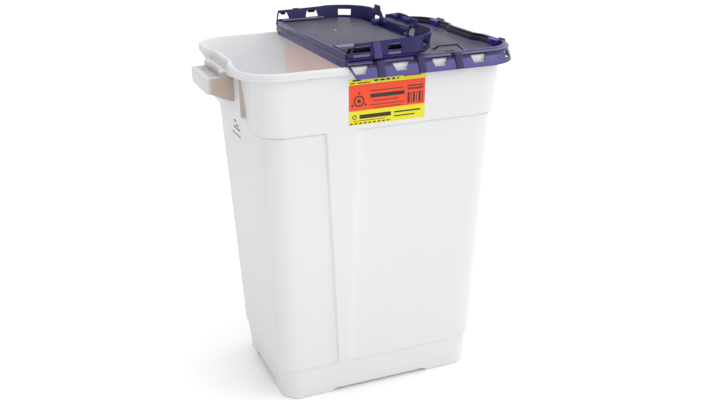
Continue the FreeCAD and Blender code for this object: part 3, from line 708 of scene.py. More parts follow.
class LidSide:
    """Outline stations of one half of the lid, in its own built position.

    edge: x of the hinge side; sx: x of the corner centres; up: +1 when the lid
    lies shut, -1 when it is turned over; windows: (centre, top width, low width)."""

    def __init__(self, edge, sx, up, win_f, win_b, profile, wt, wb):
        self.edge, self.sx, self.up = edge, sx, up
        self.profile, self.wt, self.wb = profile, wt, wb
        self.rx = sx + RR
        self.f = self.long_stations(win_f)
        self.b = self.long_stations(win_b)

    def long_stations(self, wins):
        """List of (x at the window's top, x at its bottom, index of the window begun here or -1)."""
        cuts = []
        for k, (c, wt, wb) in enumerate(wins):
            cuts.append((c - wt / 2, c - wb / 2, k))
            cuts.append((c + wt / 2, c + wb / 2, -1))
        out = [(self.edge, self.edge, -1)]
        marks = cuts + [(self.sx, self.sx, -1)]
        inside = -1
        for xt, xb, k in marks:
            pt, pb, _ = out[-1]
            n = max(1, int(round(abs(xt - pt) / 5.0)))
            for i in range(1, n):
                t = i / n
                out.append((lerp(pt, xt, t), lerp(pb, xb, t), inside))
            inside = k
            out.append((xt, xb, inside))
        # a station carries the window that lies between it and the next one
        res = []
        for i, (xt, xb, k) in enumerate(out):
            res.append((xt, xb, k))
        return res

    def stations(self):
        st = [("F", a, b, k) for a, b, k in self.f[:-1]]
        n = 16
        st += [("A", i / n, 0, -1) for i in range(n + 1)]
        ys = [-88, -82, -77, -72, -68, -64, -60, -56, -53, -50, -47, -44, -41, -38, -35, -32, -29, -22, -15, -8, 0]
        ys = ys + [-y for y in ys[-2::-1]]
        st += [("R", y, 0, -1) for y in ys]
        st += [("C", i / n, 0, -1) for i in range(n + 1)]
        st += [("B", a, b, -1) for a, b, k in self.b[:-1][::-1]]
        return st

    def z(self, zc):
        return zc if self.up > 0 else 2 * HZ - zc

    def band(self, i, top, low):
        """True when band i of the profile lies between two shut heights on the outside."""
        d, z = self.profile[i][0], self.profile[i][1]
        return d > 1.5 and z <= top + 0.01 and self.profile[i + 1][1] >= low - 0.01

    def bulge(self, y):
        """The free end bows outwards beside the notch, as the rim below it does."""
        return 1.7 * smooth((abs(y) - 50) / 22) * (1 - smooth((abs(y) - 90) / 36))

    def point(self, s, d, zc, start=0.0, nd=ND):
        """Point of station s at offset d and (shut) height zc. start pulls the hinge end in."""
        kind = s[0]
        if kind in "FB":
            t = min(1.0, max(0.0, (self.wt - zc) / (self.wt - self.wb)))
            x = lerp(s[1], s[2], t)
            if abs(x - self.edge) < 1e-6:
                x += start if (kind == "F" or self.up > 0) else start * 0.42
            y = RY + d
            if self.up < 0 and zc < 450.0:
                zc += 2.3 * (1 - smooth((x - self.edge) / 110.0))
            return (x, -y if kind == "F" else y, self.z(zc))
        if kind == "R" and self.up < 0:
            y = s[1]
            f = smooth((50.0 - abs(y)) / 34.0)
            nf = min(1.0, notch(y, 2.4))
            x = self.rx + d + self.bulge(y)
            if d > -9.8:
                x -= f * (3.0 - 12.0 * min(1.0, max(0.0, (3.0 - d) / 13.5)))
            else:
                x -= 3.8 * nf
            if -10.4 < d < -0.2:
                zc = max(zc, lerp(zc, 464.9, nf))
            low = lerp(444.0, 453.7, smooth((56.5 - abs(y - 1.0)) / 13.0))
            zz = max(zc, low - 0.03 * (low - zc)) if zc < low else zc
            return (x, y, self.z(zz))
        r = RR + d
        if kind in "AC":
            a = s[1] * math.pi / 2
            u, v = (math.sin(a), math.cos(a)) if kind == "A" else (math.cos(a), math.sin(a))
            y = AY + r * v
            x = self.sx + r * u + (self.bulge(y) * u if self.up < 0 else 0.0)
            return (x, -y if kind == "A" else y, self.z(zc))
        return (self.rx + d - notch(s[1], nd), s[1], self.z(zc))


# (offset from the rim's outline, shut height, material of the band that follows) from the
# panel's edge out and down; 0 plain, 2 recess in painted shade, 3 flare in painted light, 4 slope in painted light, 5
# upright band in painted shade, 6 flap skirt in painted shade
FIXED_PROFILE = [
    (-15.2, 458.4, 0), (-14.6, 458.6, 0), (-14.2, 459.1, 0), (-13.7, 459.3, 0), (-12.1, 459.4, 0), (-11.6, 459.8, 0),
    (-11.2, 460.3, 0), (-9.9, 460.5, 2), (-9.3, 460.9, 2), (-8.6, 463.2, 2), (-7.8, 464.6, 2), (-6.4, 465.6, 2), (-5.4, 466.4, 2),
    (-4.9, 468.2, 2), (-4.7, 468.9, 0), (-4.2, 469.25, 0), (-3.6, 469.3, 0), (-1.4, 469.3, 0), (-0.6, 469.1, 0), (0.0, 468.6, 0),
    (0.5, 467.8, 4), (1.0, 467.4, 4), (3.0, 466.3, 4), (3.25, 465.9, 2), (3.1, 465.35, 2), (2.4, 465.05, 2), (2.1, 464.4, 5),
    (2.3, 462.6, 5), (2.6, 460.5, 3), (3.1, 459.6, 3), (4.3, 456.6, 3), (5.0, 454.2, 3), (5.6, 452.2, 3), (6.1, 450.2, 3), (6.4, 448.7, 3), (6.4, 448.2, 3)]
FLAP_PROFILE = [
    (-10.5, 462.8, 0), (-9.9, 463.0, 0), (-9.5, 463.7, 0), (-9.1, 464.5, 0), (-8.6, 464.85, 2), (-6.9, 464.95, 2), (-6.35, 465.25, 2),
    (-5.9, 466.2, 2), (-5.3, 467.9, 2), (-4.9, 468.8, 2), (-4.3, 469.2, 0), (-3.6, 469.3, 0), (-1.5, 469.3, 0), (-0.7, 469.1, 0), (-0.1, 468.6, 0),
    (0.5, 467.8, 0), (1.0, 467.4, 0), (3.0, 466.3, 0), (3.25, 465.9, 2), (3.1, 465.35, 2), (2.4, 465.05, 2), (2.1, 464.4, 6),
    (2.3, 462.6, 6), (2.6, 459.6, 6), (3.0, 457.4, 6), (3.5, 454.0, 6), (3.9, 451.4, 6), (4.4, 448.0, 6), (4.8, 445.5, 6), (4.7, 445.1, 6)]


def lid_sheet(name, side, skip, slant, thick=1.6):
    m = Mesh()
    st = side.stations()
    ids = []
    prof = side.profile
    z_end = prof[-1][1]
    for d, z, _ in prof:
        s = slant * min(1.0, max(0.0, (465.4 - z) / (465.4 - z_end)))
        ids.append(m.pts([side.point(q, d, z, start=s) for q in st]))
    flip = side.up < 0
    for i in range(len(ids) - 1):
        a, b = ids[i], ids[i + 1]
        for k in range(len(a) - 1):
            if skip(i, st[k], st[k + 1]):
                continue
            mat = prof[i][2]
            if flip and st[k][0] == "R" and st[k + 1][0] == "R" and abs(st[k][1] + st[k + 1][1]) < 102 and prof[i][0] < -4.8:
                mat = 6
            m.face((a[k], b[k], b[k + 1], a[k + 1]), mat, flip)
    # panel, closed along the hinge wall
    m.face(ids[0], 1, flip)
    o = m.build(name, [MAT_LID, MAT_LID_GRAIN_SHEEN, MAT_LID_PAINTED_SHADE, MAT_LID_FLARE_PAINTED_LIGHT_SHADE, MAT_LID_PAINTED_LIGHT, MAT_LID_RIB_PAINTED_SHADE, MAT_FLAP_PAINTED_SHADE], angle=34)
    so = o.modifiers.new("t", "SOLIDIFY")
    so.thickness = thick * MM
    so.offset = -1.0
    so.use_even_offset = False
    applied(o, 34)
    return o, st


def in_window(a, b):
    """Face between stations a and b belongs to a window of a long side."""
    if a[0] == "F" and a[3] >= 0:
        return True
    if a[0] == "B" and b[0] == "B" and b[4] >= 0:
        return True
    return False


def tag_back(side):
    """Stations of the back run backwards, so each carries its window's number."""
    st = side.stations()
    out = []
    nb = len(side.b) - 1
    k = 0
    back = side.b[:-1][::-1]
    for s in st:
        if s[0] == "B":
            out.append(s + (back[k][2],))
            k += 1
        else:
            out.append(s)
    return out


# fixed part: the hinge side is at -56.0
FIX_F = [(-40.8, 23.5, 13.0), (12.8, 23.6, 13.3), (64.8, 22.0, 14.2), (118.2, 22.6, 14.0)]
FIX_B = [(-36.0, 22.0, 13.5), (16.0, 22.0, 13.5), (66.0, 22.0, 13.5), (117.0, 22.0, 13.5)]
fixed = LidSide(-56.0, AX, 1, FIX_F, FIX_B, FIXED_PROFILE, 464.4, 454.2)
# hinged part, turned right over: its outline is the mirror of the shut one about the hinge
FLP_F = [(-38.5, 24.0, 20.0), (4.3, 19.4, 14.5)]
FLP_B = [(-44.6, 17.5, 12.0), (-1.0, 19.3, 14.6)]
flap = LidSide(-56.0, 2 * HX + AX, -1, FLP_F, FLP_B, FLAP_PROFILE, 459.6, 451.4)


def fixed_skip(i, a, b):
    if in_window(a, b) and fixed.band(i, 464.4, 454.2):
        return True
    if fixed.band(i, 462.6, 454.2) and a[0] == b[0] and a[0] in "AC":
        # slanting window in each corner
        u = (a[1] + b[1]) / 2 * 16
        if (6.0 < u < 8.0) if a[0] == "A" else (8.0 < u < 10.0):
            return True
    return False


def flap_skip(i, a, b):
    if in_window(a, b) and flap.band(i, 459.6, 451.4):
        return True
    if flap.band(i, 459.6, 451.4) and a[0] == b[0] and a[0] in "AC":
        u = (a[1] + b[1]) / 2 * 16
        if a[0] == "A" and 5.0 < u < 8.0:
            return True
        if a[0] == "C" and 8.0 < u < 12.0:
            return True
    # a hole below each finger tab
    if flap.band(i, 462.6, 451.4) and a[0] == "R" and b[0] == "R":
        y = (a[1] + b[1]) / 2
        if 57.0 < y < 76.0 or -61.0 < y < -44.0:
            return True
    return False


def make_lid(name, side, skip, slant):
    tagged = tag_back(side)
    side.stations = lambda: tagged
    return lid_sheet(name, side, skip, slant)


def column(side, x, sgn, w=10.5, lean=0.0, d_low=7.9, low=448.4, recess=True, d_in=-0.2):
    """Buttress between two windows: upright above, then following the flare, with a near-black block at its side as the
    painted shade of a recess.
    """
    m = Mesh()
    prof = [(d_in, 468.9), (max(1.8, d_in + 0.3), 468.7), (3.7, 467.4), (4.1, 463.4), (4.5, 460.8), (d_low, low + 0.8), (d_low, low), (d_low - 1.4, low), (max(0.8, d_in + 0.6), 460.6), (d_in, 465.6)]
    loops = []
    for xx in (x - w / 2, x + w / 2):
        loop = []
        for d, z in prof:
            t = (468.9 - z) / 20.6
            squeeze = lerp(1.0, 0.90, t)
            px = x + (xx - x) * squeeze + lean * t
            loop.append((px, sgn * (RY + d), side.z(z)))
        loops.append(loop)
    m.prism(loops[0], loops[1])
    o = m.build("column", [MAT_LID_RIB_PAINTED_SHADE if side.up > 0 else (MAT_LID if sgn < 0 else MAT_FLAP_PAINTED_SHADE)], weld=0)
    outward(o)
    bevelled(o, 0.7, 2, 20)
    out = [o]
    if recess:
        # near-black block beside the column: painted shade of the recess
        q = Mesh()
        prof = [(0.2, 468.9), (1.6, 468.6), (3.8, 467.0), (3.9, 465.0), (3.2, 463.4), (1.2, 463.4), (0.2, 465.6)]
        x0, x1 = x - w / 2 - 4.2, x - w / 2 + 0.6
        q.prism([(x0, sgn * (RY + d), side.z(z)) for d, z in prof], [(x1, sgn * (RY + d), side.z(z)) for d, z in prof])
        r = q.build("recess", [MAT_LID_PAINTED_SHADE], weld=0)
        outward(r)
        out.append(r)
    return out


def block(x0, x1, y0, y1, z0, z1, mat=None, bev=0.6, taper=0.0, name="block"):
    """Small moulded block with drafted sides and rounded edges."""
    m = Mesh()
    t = taper
    a = [(x0, y0, z0), (x1, y0, z0), (x1, y1, z0), (x0, y1, z0)]
    b = [(x0 + t, y0 + t, z1), (x1 - t, y0 + t, z1), (x1 - t, y1 - t, z1), (x0 + t, y1 - t, z1)]
    m.prism(a, b)
    o = m.build(name, [mat or MAT_LID], weld=0)
    outward(o)
    return bevelled(o, bev, 2, 20)


def poly_block(pts, z0, z1, mat=None, bev=0.5, name="pad"):
    m = Mesh()
    m.prism([(x, y, z0) for x, y in pts], [(x, y, z1) for x, y in pts])
    o = m.build(name, [mat or MAT_LID], weld=0)
    outward(o)
    return bevelled(o, bev, 2, 20)


def hinge_wall(side, zlo, zhi, x0, x1):
    """Upright wall along the hinge, with a small crown at its edge."""
    m = Mesh()
    ys = [-136.4, 136.4] if side.up > 0 else [-134.9, 134.9]
    a, b = sorted((zlo, zhi))
    loops = []
    for y in ys:
        loops.append([(x0, y, a), (x1, y, a), (x1, y, b), (x0, y, b)])
    m.prism(loops[0], loops[1])
    o = m.build("hingewall", [MAT_LID, MAT_LID_LUG_PAINTED_LIGHT], weld=0)
    outward(o)
    o = bevelled(o, 0.7, 3, 20)
    if side.up < 0:
        # painted light: the flap's hinge wall has its up-facing faces in the brighter copy
        for f in o.data.polygons:
            if f.normal.z > 0.8:
                f.material_index = 1
    return o


parts = []
sheet, _ = make_lid("lid_fixed", fixed, fixed_skip, 9.5)
parts.append(sheet)
parts.append(hinge_wall(fixed, 458.9, 469.28, -56.0, -53.0))
for xc in (-14.5, 39.5, 90.0):
    parts += column(fixed, xc, -1, lean=1.0)
    parts += column(fixed, xc, 1, lean=1.0)
# catches on the inner wall of the right end and of the back
for y0, y1 in ((79.0, 101.0), (-97.0, -74.0)):
    parts.append(block(168.6, 175.0, y0, y1, 459.4, 468.9, MAT_LID_LUG_PAINTED_LIGHT, 0.8, 0.3))
for x0, x1 in ((96.0, 112.0), (126.0, 141.0)):
    parts.append(block(x0, x1, 130.2, 136.6, 459.4, 468.9, MAT_LID_LUG_PAINTED_LIGHT, 0.8, 0.3))
# raised plate of the fixed panel, with a stepped front corner and a brace across it
parts.append(poly_block([(-53.5, -121), (84, -121), (84, -77.5), (92, -72), (104.5, -58), (133.5, -60.4), (135.5, -52), (143.5, -28), (145.5, -12), (145.5, 12), (143.5, 28), (135.5, 52), (124, 95), (113, 121), (-53.5, 121)], 457.6, 461.6, MAT_LID_GRAIN_SHEEN, 0.5))
parts.append(poly_block([(86, -119), (86, -79), (93.5, -74.5), (105.5, -60.4), (130, -62.5), (118, -110), (112, -119)], 457.4, 460.2, MAT_LID_GRAIN_SHEEN, 0.4))
parts.append(poly_block([(133.2, -57.5), (136.0, -56.5), (122.8, -104.0), (120.2, -103.0)], 457.4, 461.2, MAT_LID, 0.4))
# small near-black pad on the plate: painted shade
parts.append(poly_block([(97, -92), (110, -92), (110, -95), (97, -95)], 459.8, 461.0, MAT_LID_PAINTED_SHADE, 0.3))
# caps standing on the outer edge of the right end and of the back
for y0, y1 in ((76.0, 97.0), (-102.0, -88.0)):
    xo = 181.0 if y0 > 0 else 179.5
    parts.append(block(xo - 2.5, xo + 2.0, y0, y1, 463.0, 470.9, MAT_LID, 1.0, 0.4))
lid_fixed = joined("lid_fixed", parts)
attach(lid_fixed, "container")
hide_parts("lid_frame")

parts = []
sheet, _ = make_lid("lid_hinged", flap, flap_skip, 11.0)
parts.append(sheet)
parts.append(hinge_wall(flap, flap.z(469.28), flap.z(460.4), -56.0, -53.6))
parts += column(flap, -16.5, -1, lean=-4.0, d_low=6.0, low=446.0, recess=False, d_in=1.4)
parts += column(flap, -22.0, 1, lean=-2.0, d_low=6.4, low=446.0, recess=False, d_in=2.4)


def finger_tab(ya, yb, ztop):
    """Press tab on the skirt's free end, standing over its hole."""
    m = Mesh()
    cols = 8
    rows = []
    for k in range(9):
        t = k / 8
        zz = lerp(486.0, ztop, t)
        a, b = ya, yb
        if t > 0.5:
            a += (t - 0.5) * 4.0
            b -= (t - 0.5) * 5.0
        rows.append([(flap.rx + lerp(4.0, 4.6, t), lerp(a, b, j / cols), zz) for j in range(cols + 1)])
    m.rows(rows)
    o = m.build("tab", [MAT_FLAP_PAINTED_SHADE], weld=0)
    so = o.modifiers.new("t", "SOLIDIFY")
    so.thickness = 2.0 * MM
    so.offset = 0.0
    applied(o, 34)
    outward(o)
    return bevelled(o, 0.6, 2, 30)


parts.append(finger_tab(57.0, 79.0, 500.6))
parts.append(finger_tab(-64.5, -43.0, 498.4))
# catches at the foot of the tabs, over the panel's edge
parts.append(block(56.0, 64.5, 42.0, 58.0, 476.5, 483.5, MAT_FLAP_PAINTED_SHADE, 1.6, 1.0))
parts.append(block(58.0, 63.0, -57.0, -49.0, 476.5, 481.0, MAT_LID, 1.0, 0.6))
# pull lip over the grip: a shelf from the skirt outwards and a low humped wall on its edge
YS = [lerp(-46.0, 46.0, k / 36) for k in range(37)]


def lip_x(y):
    return 74.0 + 4.2 * smooth((50.0 - abs(y)) / 20.0)


m = Mesh()
inner_e = [(lerp(66.0, 69.8, smooth((abs(y) - 34.0) / 6.0)), y) for y in YS]
outer_e = [(lip_x(y), y) for y in YS]
top = [m.pts([(x, y, zz) for x, y in e]) for e, zz in ((inner_e, 484.0), (outer_e, 486.8))]
bot = [m.pts([(x, y, zz) for x, y in e]) for e, zz in ((inner_e, 482.6), (outer_e, 485.4))]
m.strip(top[0], top[1])
m.strip(bot[1], bot[0])
m.strip(top[1], bot[1])
m.strip(bot[0], top[0])
m.face((top[0][0], bot[0][0], bot[1][0], top[1][0]))
m.face((top[0][-1], top[1][-1], bot[1][-1], bot[0][-1]))
# the shelf takes the light copy: painted light
o = m.build("shelf", [MAT_LID_PAINTED_LIGHT], weld=0)
outward(o)
parts.append(o)
m = Mesh()
rows = []
for t in (0.0, 0.2, 0.4, 0.6, 0.8, 1.0):
    rows.append([(lip_x(y) + 0.5 * t, y, lerp(485.6, 490.2 + 7.4 * smooth((56.0 - abs(y + 4.0)) / 50.0), t)) for y in YS])
m.rows(rows)
o = m.build("lip", [MAT_FLAP_PAINTED_SHADE], weld=0)
so = o.modifiers.new("t", "SOLIDIFY")
so.thickness = 1.5 * MM
so.offset = 0.0
applied(o, 34)
outward(o)
parts.append(bevelled(o, 0.4, 2, 40))
for y0, y1, zt in ((8.0, 27.0, 494.4), (-30.0, -9.0, 495.0)):
    parts.append(block(74.6, 77.6, y0, y1, 490.6, zt, MAT_LID_LUG_PAINTED_LIGHT, 0.6, 0.3))
# plug strips standing on the underside of the panel, with the gate mark and a dimple; the near-black strips and thin
# sheets are painted shade, the light ones painted light
pz = flap.z(460.3)


def plug_strip(sgn, x0, x1, y, h=4.0, w=1.8, mat=None):
    m = Mesh()
    n = 14
    rows = []
    m.prism([(x0, sgn * y, pz - 1.0), (x1, sgn * y, pz - 1.0), (x1, sgn * (y + w), pz - 1.0), (x0, sgn * (y + w), pz - 1.0)],
            [(x0, sgn * y, pz + h), (x1, sgn * y, pz + h), (x1, sgn * (y + w), pz + h), (x0, sgn * (y + w), pz + h)])
    o = m.build("strip", [mat or MAT_LID], weld=0)
    outward(o)
    return bevelled(o, 0.4, 2, 20)


parts.append(plug_strip(-1, -52.5, 22.0, 101.0, 0.35, 29.5, MAT_LID_PAINTED_SHADE))
parts.append(plug_strip(-1, -51.5, 22.0, 130.4, 5.0, 1.4, MAT_LID_PAINTED_SHADE))
parts.append(plug_strip(-1, -50.5, 22.0, 82.0, 0.75, 18.0, MAT_LID_PAINTED_LIGHT))
parts.append(plug_strip(-1, -50.5, 22.0, 79.4, 0.5, 2.4, MAT_LID_PAINTED_SHADE))
parts.append(plug_strip(1, -50.0, 12.0, 124.6, 2.0, 6.4, MAT_LID_PAINTED_LIGHT))
parts.append(plug_strip(1, -50.0, 12.0, 122.4, 0.5, 2.0, MAT_LID_PAINTED_SHADE))
# drip lugs at the head of the windows of the back, near-black as painted shade
for c_, w_ in ((-44.6, 6.4), (-1.0, 10.0)):
    parts.append(block(c_ - w_ / 2, c_ + w_ / 2, 142.6, 145.6, 485.4, 489.6, MAT_LID_PAINTED_SHADE, 0.4, 0.0))
# sills inside the windows of the front, in the light copy as a painted highlight
for c_, w_ in ((-38.5, 21.0), (4.3, 16.5)):
    parts.append(block(c_ - w_ / 2, c_ + w_ / 2, -143.4, -141.5, 474.2, 478.4, MAT_LID_PAINTED_LIGHT, 0.3, 0.0))
gm = Mesh()
n = 20
gm.prism([(-8.3 + 1.5 * math.cos(2 * math.pi * k / n), 25.4 + 1.5 * math.sin(2 * math.pi * k / n), pz - 1.6) for k in range(n)],
         [(-8.3 + 1.3 * math.cos(2 * math.pi * k / n), 25.4 + 1.3 * math.sin(2 * math.pi * k / n), pz - 0.2) for k in range(n)])
go = gm.build("gate", [MAT_GATE], weld=0)
outward(go)
parts.append(go)
flap_obj = joined("lid_hinged", parts)
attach(flap_obj, "flap")
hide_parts("lid_flap")


# ------------------------------------------------------------------ hinge web
def build_web():
    m = Mesh()
    ys = [lerp(-137.8, 137.8, k / 60) for k in range(61)]
    prof = []
    n = 12
    for k in range(n + 1):
        t = k / n
        z = lerp(467.95, 470.95, t)
        x = -56.15 - 0.75 * math.sin(math.pi * t)
        prof.append((x, z))
    outer = prof
    inner = [(x + 0.32, z) for x, z in prof]
    loops = []
    for y in ys:
        loops.append([(x, y, z) for x, z in outer] + [(x, y, z) for x, z in inner[::-1]])
    ids = [m.pts(l) for l in loops]
    for a, b in zip(ids[:-1], ids[1:]):
        m.strip(a, b, True)
    m.face(ids[0][::-1])
    m.face(ids[-1])
    o = m.build("hinge_web", [MAT_HINGE_PAINTED_SHADE], weld=0)
    outward(o)
    return o


web = build_web()
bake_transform(web)
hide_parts("living_hinge")


# ------------------------------------------------------------------ labels
def face_y(z):
    return lerp(130.6, 134.5, (z - 382.2) / (453.0 - 382.2))


def cell_label(name, x0, x1, z0, z1, rects, mats, sgn, lift=0.12):
    """Thin film on the band: a plate cut into cells, each cell painted by the last rectangle over it."""
    xs = sorted(set([x0, x1] + [x for r in rects for x in (r[0], r[1]) if x0 < x < x1]))
    zs = sorted(set([z0, z1] + [z for r in rects for z in (r[2], r[3]) if z0 < z < z1]))
    m = Mesh()

    def P(x, z, up):
        return (x, sgn * (face_y(z) + up), z)

    grid = [m.pts([P(x, z, lift) for x in xs]) for z in zs]
    for i in range(len(zs) - 1):
        for j in range(len(xs) - 1):
            cx, cz = (xs[j] + xs[j + 1]) / 2, (zs[i] + zs[i + 1]) / 2
            mat = 0
            for r in rects:
                if r[0] <= cx <= r[1] and r[2] <= cz <= r[3]:
                    mat = r[4]
            m.face((grid[i][j], grid[i][j + 1], grid[i + 1][j + 1], grid[i + 1][j]), mat, sgn > 0)
    back = [m.pts([P(x, z, 0.01) for x in (x0, x1)]) for z in (z0, z1)]
    g = grid
    lo, hi = g[0], g[-1]
    m.face((back[0][0], back[1][0], back[1][1], back[0][1]), 0, sgn > 0)
    m.face(list(lo) + [back[0][1], back[0][0]], 0, sgn < 0)
    m.face(list(hi[::-1]) + [back[1][0], back[1][1]], 0, sgn < 0)
    m.face([g[i][0] for i in range(len(zs))][::-1] + [back[0][0], back[1][0]], 0, sgn < 0)
    m.face([g[i][-1] for i in range(len(zs))] + [back[1][1], back[0][1]], 0, sgn < 0)
    return m, P


LAB = dict(x0=-51.8, x1=49.8, z0=388.2, z1=447.3)
rects = [
    # (x0, x1, z0, z1, material): 0 yellow, 1 red, 2 black, 3 dark
    (-51.8, 49.8, 406.4, 439.2, 1),
    # yellow top strip with small bars
    (-47.0, -36.0, 443.6, 445.8, 2), (-50.0, -44.0, 440.4, 442.0, 2), (-41.0, -24.0, 440.4, 441.8, 3), (-19.0, -13.0, 441.4, 443.8, 2), (-11.0, -5.0, 441.4, 443.8, 2), (-3.0, 2.0, 441.4, 443.8, 2), (5.0, 9.0, 441.4, 443.8, 2), (12.0, 14.0, 441.4, 443.8, 2), (20.0, 44.0, 443.8, 445.0, 3),
    # bars in the red field
    (-24.0, 20.0, 429.3, 430.6, 3), (-24.0, 22.0, 421.2, 426.0, 2), (-20.0, 14.0, 416.4, 417.8, 3),
    (-24.0, 22.0, 411.6, 412.8, 3), (-20.0, 18.0, 407.6, 408.8, 3),
    # small data block at the right
    (26.0, 47.4, 426.0, 432.2, 3), (27.0, 46.6, 428.8, 430.2, 1), (26.0, 29.0, 409.0, 423.0, 2), (30.6, 31.8, 409.0, 423.0, 2), (33.4, 36.2, 409.0, 423.0, 2), (38.0, 39.0, 409.0, 423.0, 2), (41.0, 44.0, 409.0, 423.0, 2), (45.6, 46.8, 409.0, 423.0, 2),
    # yellow lower band
    (-38.0, 4.0, 395.8, 401.0, 2), (8.0, 44.0, 398.6, 400.6, 2), (8.0, 36.0, 393.6, 395.2, 2),
    (-46.0, -4.0, 393.0, 393.9, 3),
] + [(-50.6 + 6.1 * k, -46.8 + 6.1 * k, 389.4, 391.2, 2) for k in range(9)] + [
]
lm, LP = cell_label("front", LAB["x0"], LAB["x1"], LAB["z0"], LAB["z1"], rects, None, -1)


def disc(m, cx, cz, ro, ri, mat, a0=0.0, a1=360.0, n=28):
    up = 0.2
    full = abs(a1 - a0) >= 359.9
    k = n if full else n + 1
    ang = [math.radians(lerp(a0, a1, i / n)) for i in range(k)]
    if ri > 0:
        A = m.pts([LP(cx + ro * math.cos(a), cz + ro * math.sin(a), up) for a in ang])
        B = m.pts([LP(cx + ri * math.cos(a), cz + ri * math.sin(a), up) for a in ang])
        m.strip(B, A, full, mat)
    else:
        A = m.pts([LP(cx + ro * math.cos(a), cz + ro * math.sin(a), up) for a in ang])
        m.face(A, mat)


# generic pictogram: a ring with a dot and three short bars round it
disc(lm, -38.5, 418.5, 7.2, 5.4, 2)
disc(lm, -38.5, 418.5, 2.4, 0.0, 2)
for a in (90, 210, 330):
    c, s = math.cos(math.radians(a)), math.sin(math.radians(a))
    pts = []
    for u, v in ((8.6, -1.3), (11.2, -1.3), (11.2, 1.3), (8.6, 1.3)):
        pts.append(LP(-38.5 + u * c - v * s, 418.5 + u * s + v * c, 0.2))
    lm.face(lm.pts(pts), 2)
disc(lm, -44.5, 398.4, 2.9, 1.7, 2)
lab_f = lm.build("label_front_film", [MAT_YELLOW, MAT_RED, MAT_BLACK, MAT_DARKRED], weld=0)
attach(lab_f, "container")
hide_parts("label_front")

rects_b = [(-48.8, 52.8, 406.4, 439.2, 1), (-22.0, 26.0, 421.2, 426.0, 2), (-20.0, 24.0, 429.3, 430.6, 3), (-16.0, 20.0, 416.4, 417.8, 3),
           (-22.0, 26.0, 411.6, 412.8, 3), (-4.0, 40.0, 395.8, 401.0, 2), (-44.0, -8.0, 398.6, 400.6, 2), (-44.0, -14.0, 393.6, 395.2, 2),
           (-10.0, 12.0, 441.0, 443.2, 2)]
bm_, _ = cell_label("back", -48.8, 52.8, 388.2, 447.3, rects_b, None, 1)
lab_b = bm_.build("label_back_film", [MAT_YELLOW, MAT_RED, MAT_BLACK, MAT_DARKRED], weld=0)
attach(lab_b, "container")
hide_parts("label_back")


# ------------------------------------------------------------------ fill marks
def build_marks():
    m = Mesh()
    rng = [0.37, 0.81, 0.12, 0.55, 0.93, 0.28, 0.66, 0.07, 0.48, 0.74]
    q = 0

    def wall_x(z):
        return lerp(144.2, 156.6, (z - 45.4) / (382.2 - 45.4))

    rows_ = [(371.4, 14.0, 26.0), (366.4, 3.0, 16.0), (361.9, -3.0, 28.0), (352.8, -2.0, 24.0), (352.3, 29.0, 41.0)]
    for z, ya, yb in rows_:
        y = ya
        while y < yb - 1.0:
            w = 2.2 + 3.6 * rng[q % 10]
            h = 1.5 + 0.8 * rng[(q * 3 + 1) % 10]
            q += 1
            y1 = min(yb, y + w)
            pts = []
            rise = end_rise(-156, (y + y1) / 2) * smooth((z - 340) / 35)
            z0, z1 = z - h / 2, z + h / 2
            for up in (0.02, 0.2):
                pts.append([(-(wall_x(z0) + up), y, z0), (-(wall_x(z1) + up), y, z1), (-(wall_x(z1) + up), y1, z1), (-(wall_x(z0) + up), y1, z0)])
            m.prism(pts[0], pts[1])
            y = y1 + 1.1 + 0.9 * rng[(q * 7) % 10]
    o = m.build("fill_mark_print", [MAT_INK], weld=0)
    outward(o)
    return o


marks = build_marks()
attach(marks, "container")
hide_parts("fill_marks")


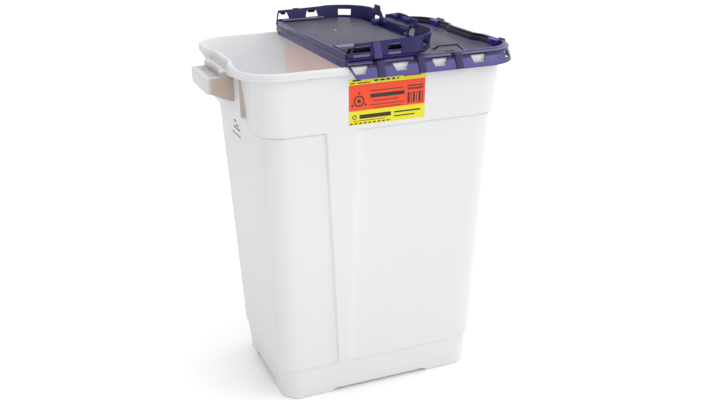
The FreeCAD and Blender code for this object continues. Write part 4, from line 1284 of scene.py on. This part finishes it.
# ------------------------------------------------------------------ camera
cam_d = bpy.data.cameras.new("cam")
cam_d.sensor_width = 36.0
cam_d.lens = 927.684 * 36.0 / 704.0
cam_d.shift_x = (352.0 - 358.499) / 704.0
cam_d.shift_y = (199.825 - 200.0) / 704.0
cam_d.clip_start = 0.01
cam = link(bpy.data.objects.new("cam", cam_d))
yaw, pitch, roll = math.radians(21.47), math.radians(20.14), math.radians(-1.17)
fwd = Vector((math.sin(yaw) * math.cos(pitch), math.cos(yaw) * math.cos(pitch), -math.sin(pitch)))
right = Vector((math.cos(yaw), -math.sin(yaw), 0.0))
upv = right.cross(fwd)
r2 = right * math.cos(roll) + upv * math.sin(roll)
u2 = upv * math.cos(roll) - right * math.sin(roll)
rot = Matrix((r2, u2, -fwd)).transposed().to_4x4()
cam.matrix_world = Matrix.Translation(Vector((-0.443025, -1.152561, 0.693615))) @ rot
bpy.context.scene.camera = cam

# ------------------------------------------------------------------ stage
fm = Mesh()
fm.face(fm.pts([(-6000, -6000, 0), (6000, -6000, 0), (6000, 6000, 0), (-6000, 6000, 0)]))
floor = fm.build("floor", [MAT_FLOOR], weld=0)

world = bpy.data.worlds.new("studio")
bpy.context.scene.world = world
world.use_nodes = True
wn = world.node_tree
bg = wn.nodes["Background"]
geo = wn.nodes.new("ShaderNodeTexCoord")
dot = wn.nodes.new("ShaderNodeVectorMath")
dot.operation = "DOT_PRODUCT"
dot.inputs[1].default_value = Vector((0.74, -0.50, 0.46)).normalized()
wn.links.new(geo.outputs["Generated"], dot.inputs[0])
ramp = wn.nodes.new("ShaderNodeMapRange")
ramp.interpolation_type = "SMOOTHSTEP"
ramp.inputs["From Min"].default_value = -1.0
ramp.inputs["From Max"].default_value = 1.0
ramp.inputs["To Min"].default_value = 0.65
ramp.inputs["To Max"].default_value = 1.28
wn.links.new(dot.outputs["Value"], ramp.inputs["Value"])
bg.inputs["Color"].default_value = (1.0, 1.0, 1.0, 1.0)
wn.links.new(ramp.outputs["Result"], bg.inputs["Strength"])
bpy.context.scene.view_settings.view_transform = "Standard"


def area(name, loc, target, size, power, colour=(1, 1, 1)):
    d = bpy.data.lights.new(name, "AREA")
    d.shape = "RECTANGLE"
    d.size, d.size_y = size
    d.energy = power
    d.color = colour
    o = link(bpy.data.objects.new(name, d))
    o.location = loc
    o.rotation_euler = (Vector(target) - Vector(loc)).to_track_quat("-Z", "Y").to_euler()
    return o


inner = bpy.data.lights.new("glow", "POINT")
inner.energy = 0.7
inner.shadow_soft_size = 0.07
inner_o = link(bpy.data.objects.new("glow", inner))
inner_o.location = (-0.05, 0.0, 0.27)
area("key", (1.5, -1.5, 1.5), (0, 0, 0.25), (1.2, 1.2), 8.0)
area("top", (0.1, 0.5, 2.4), (0, 0, 0.3), (1.4, 1.4), 6.0)
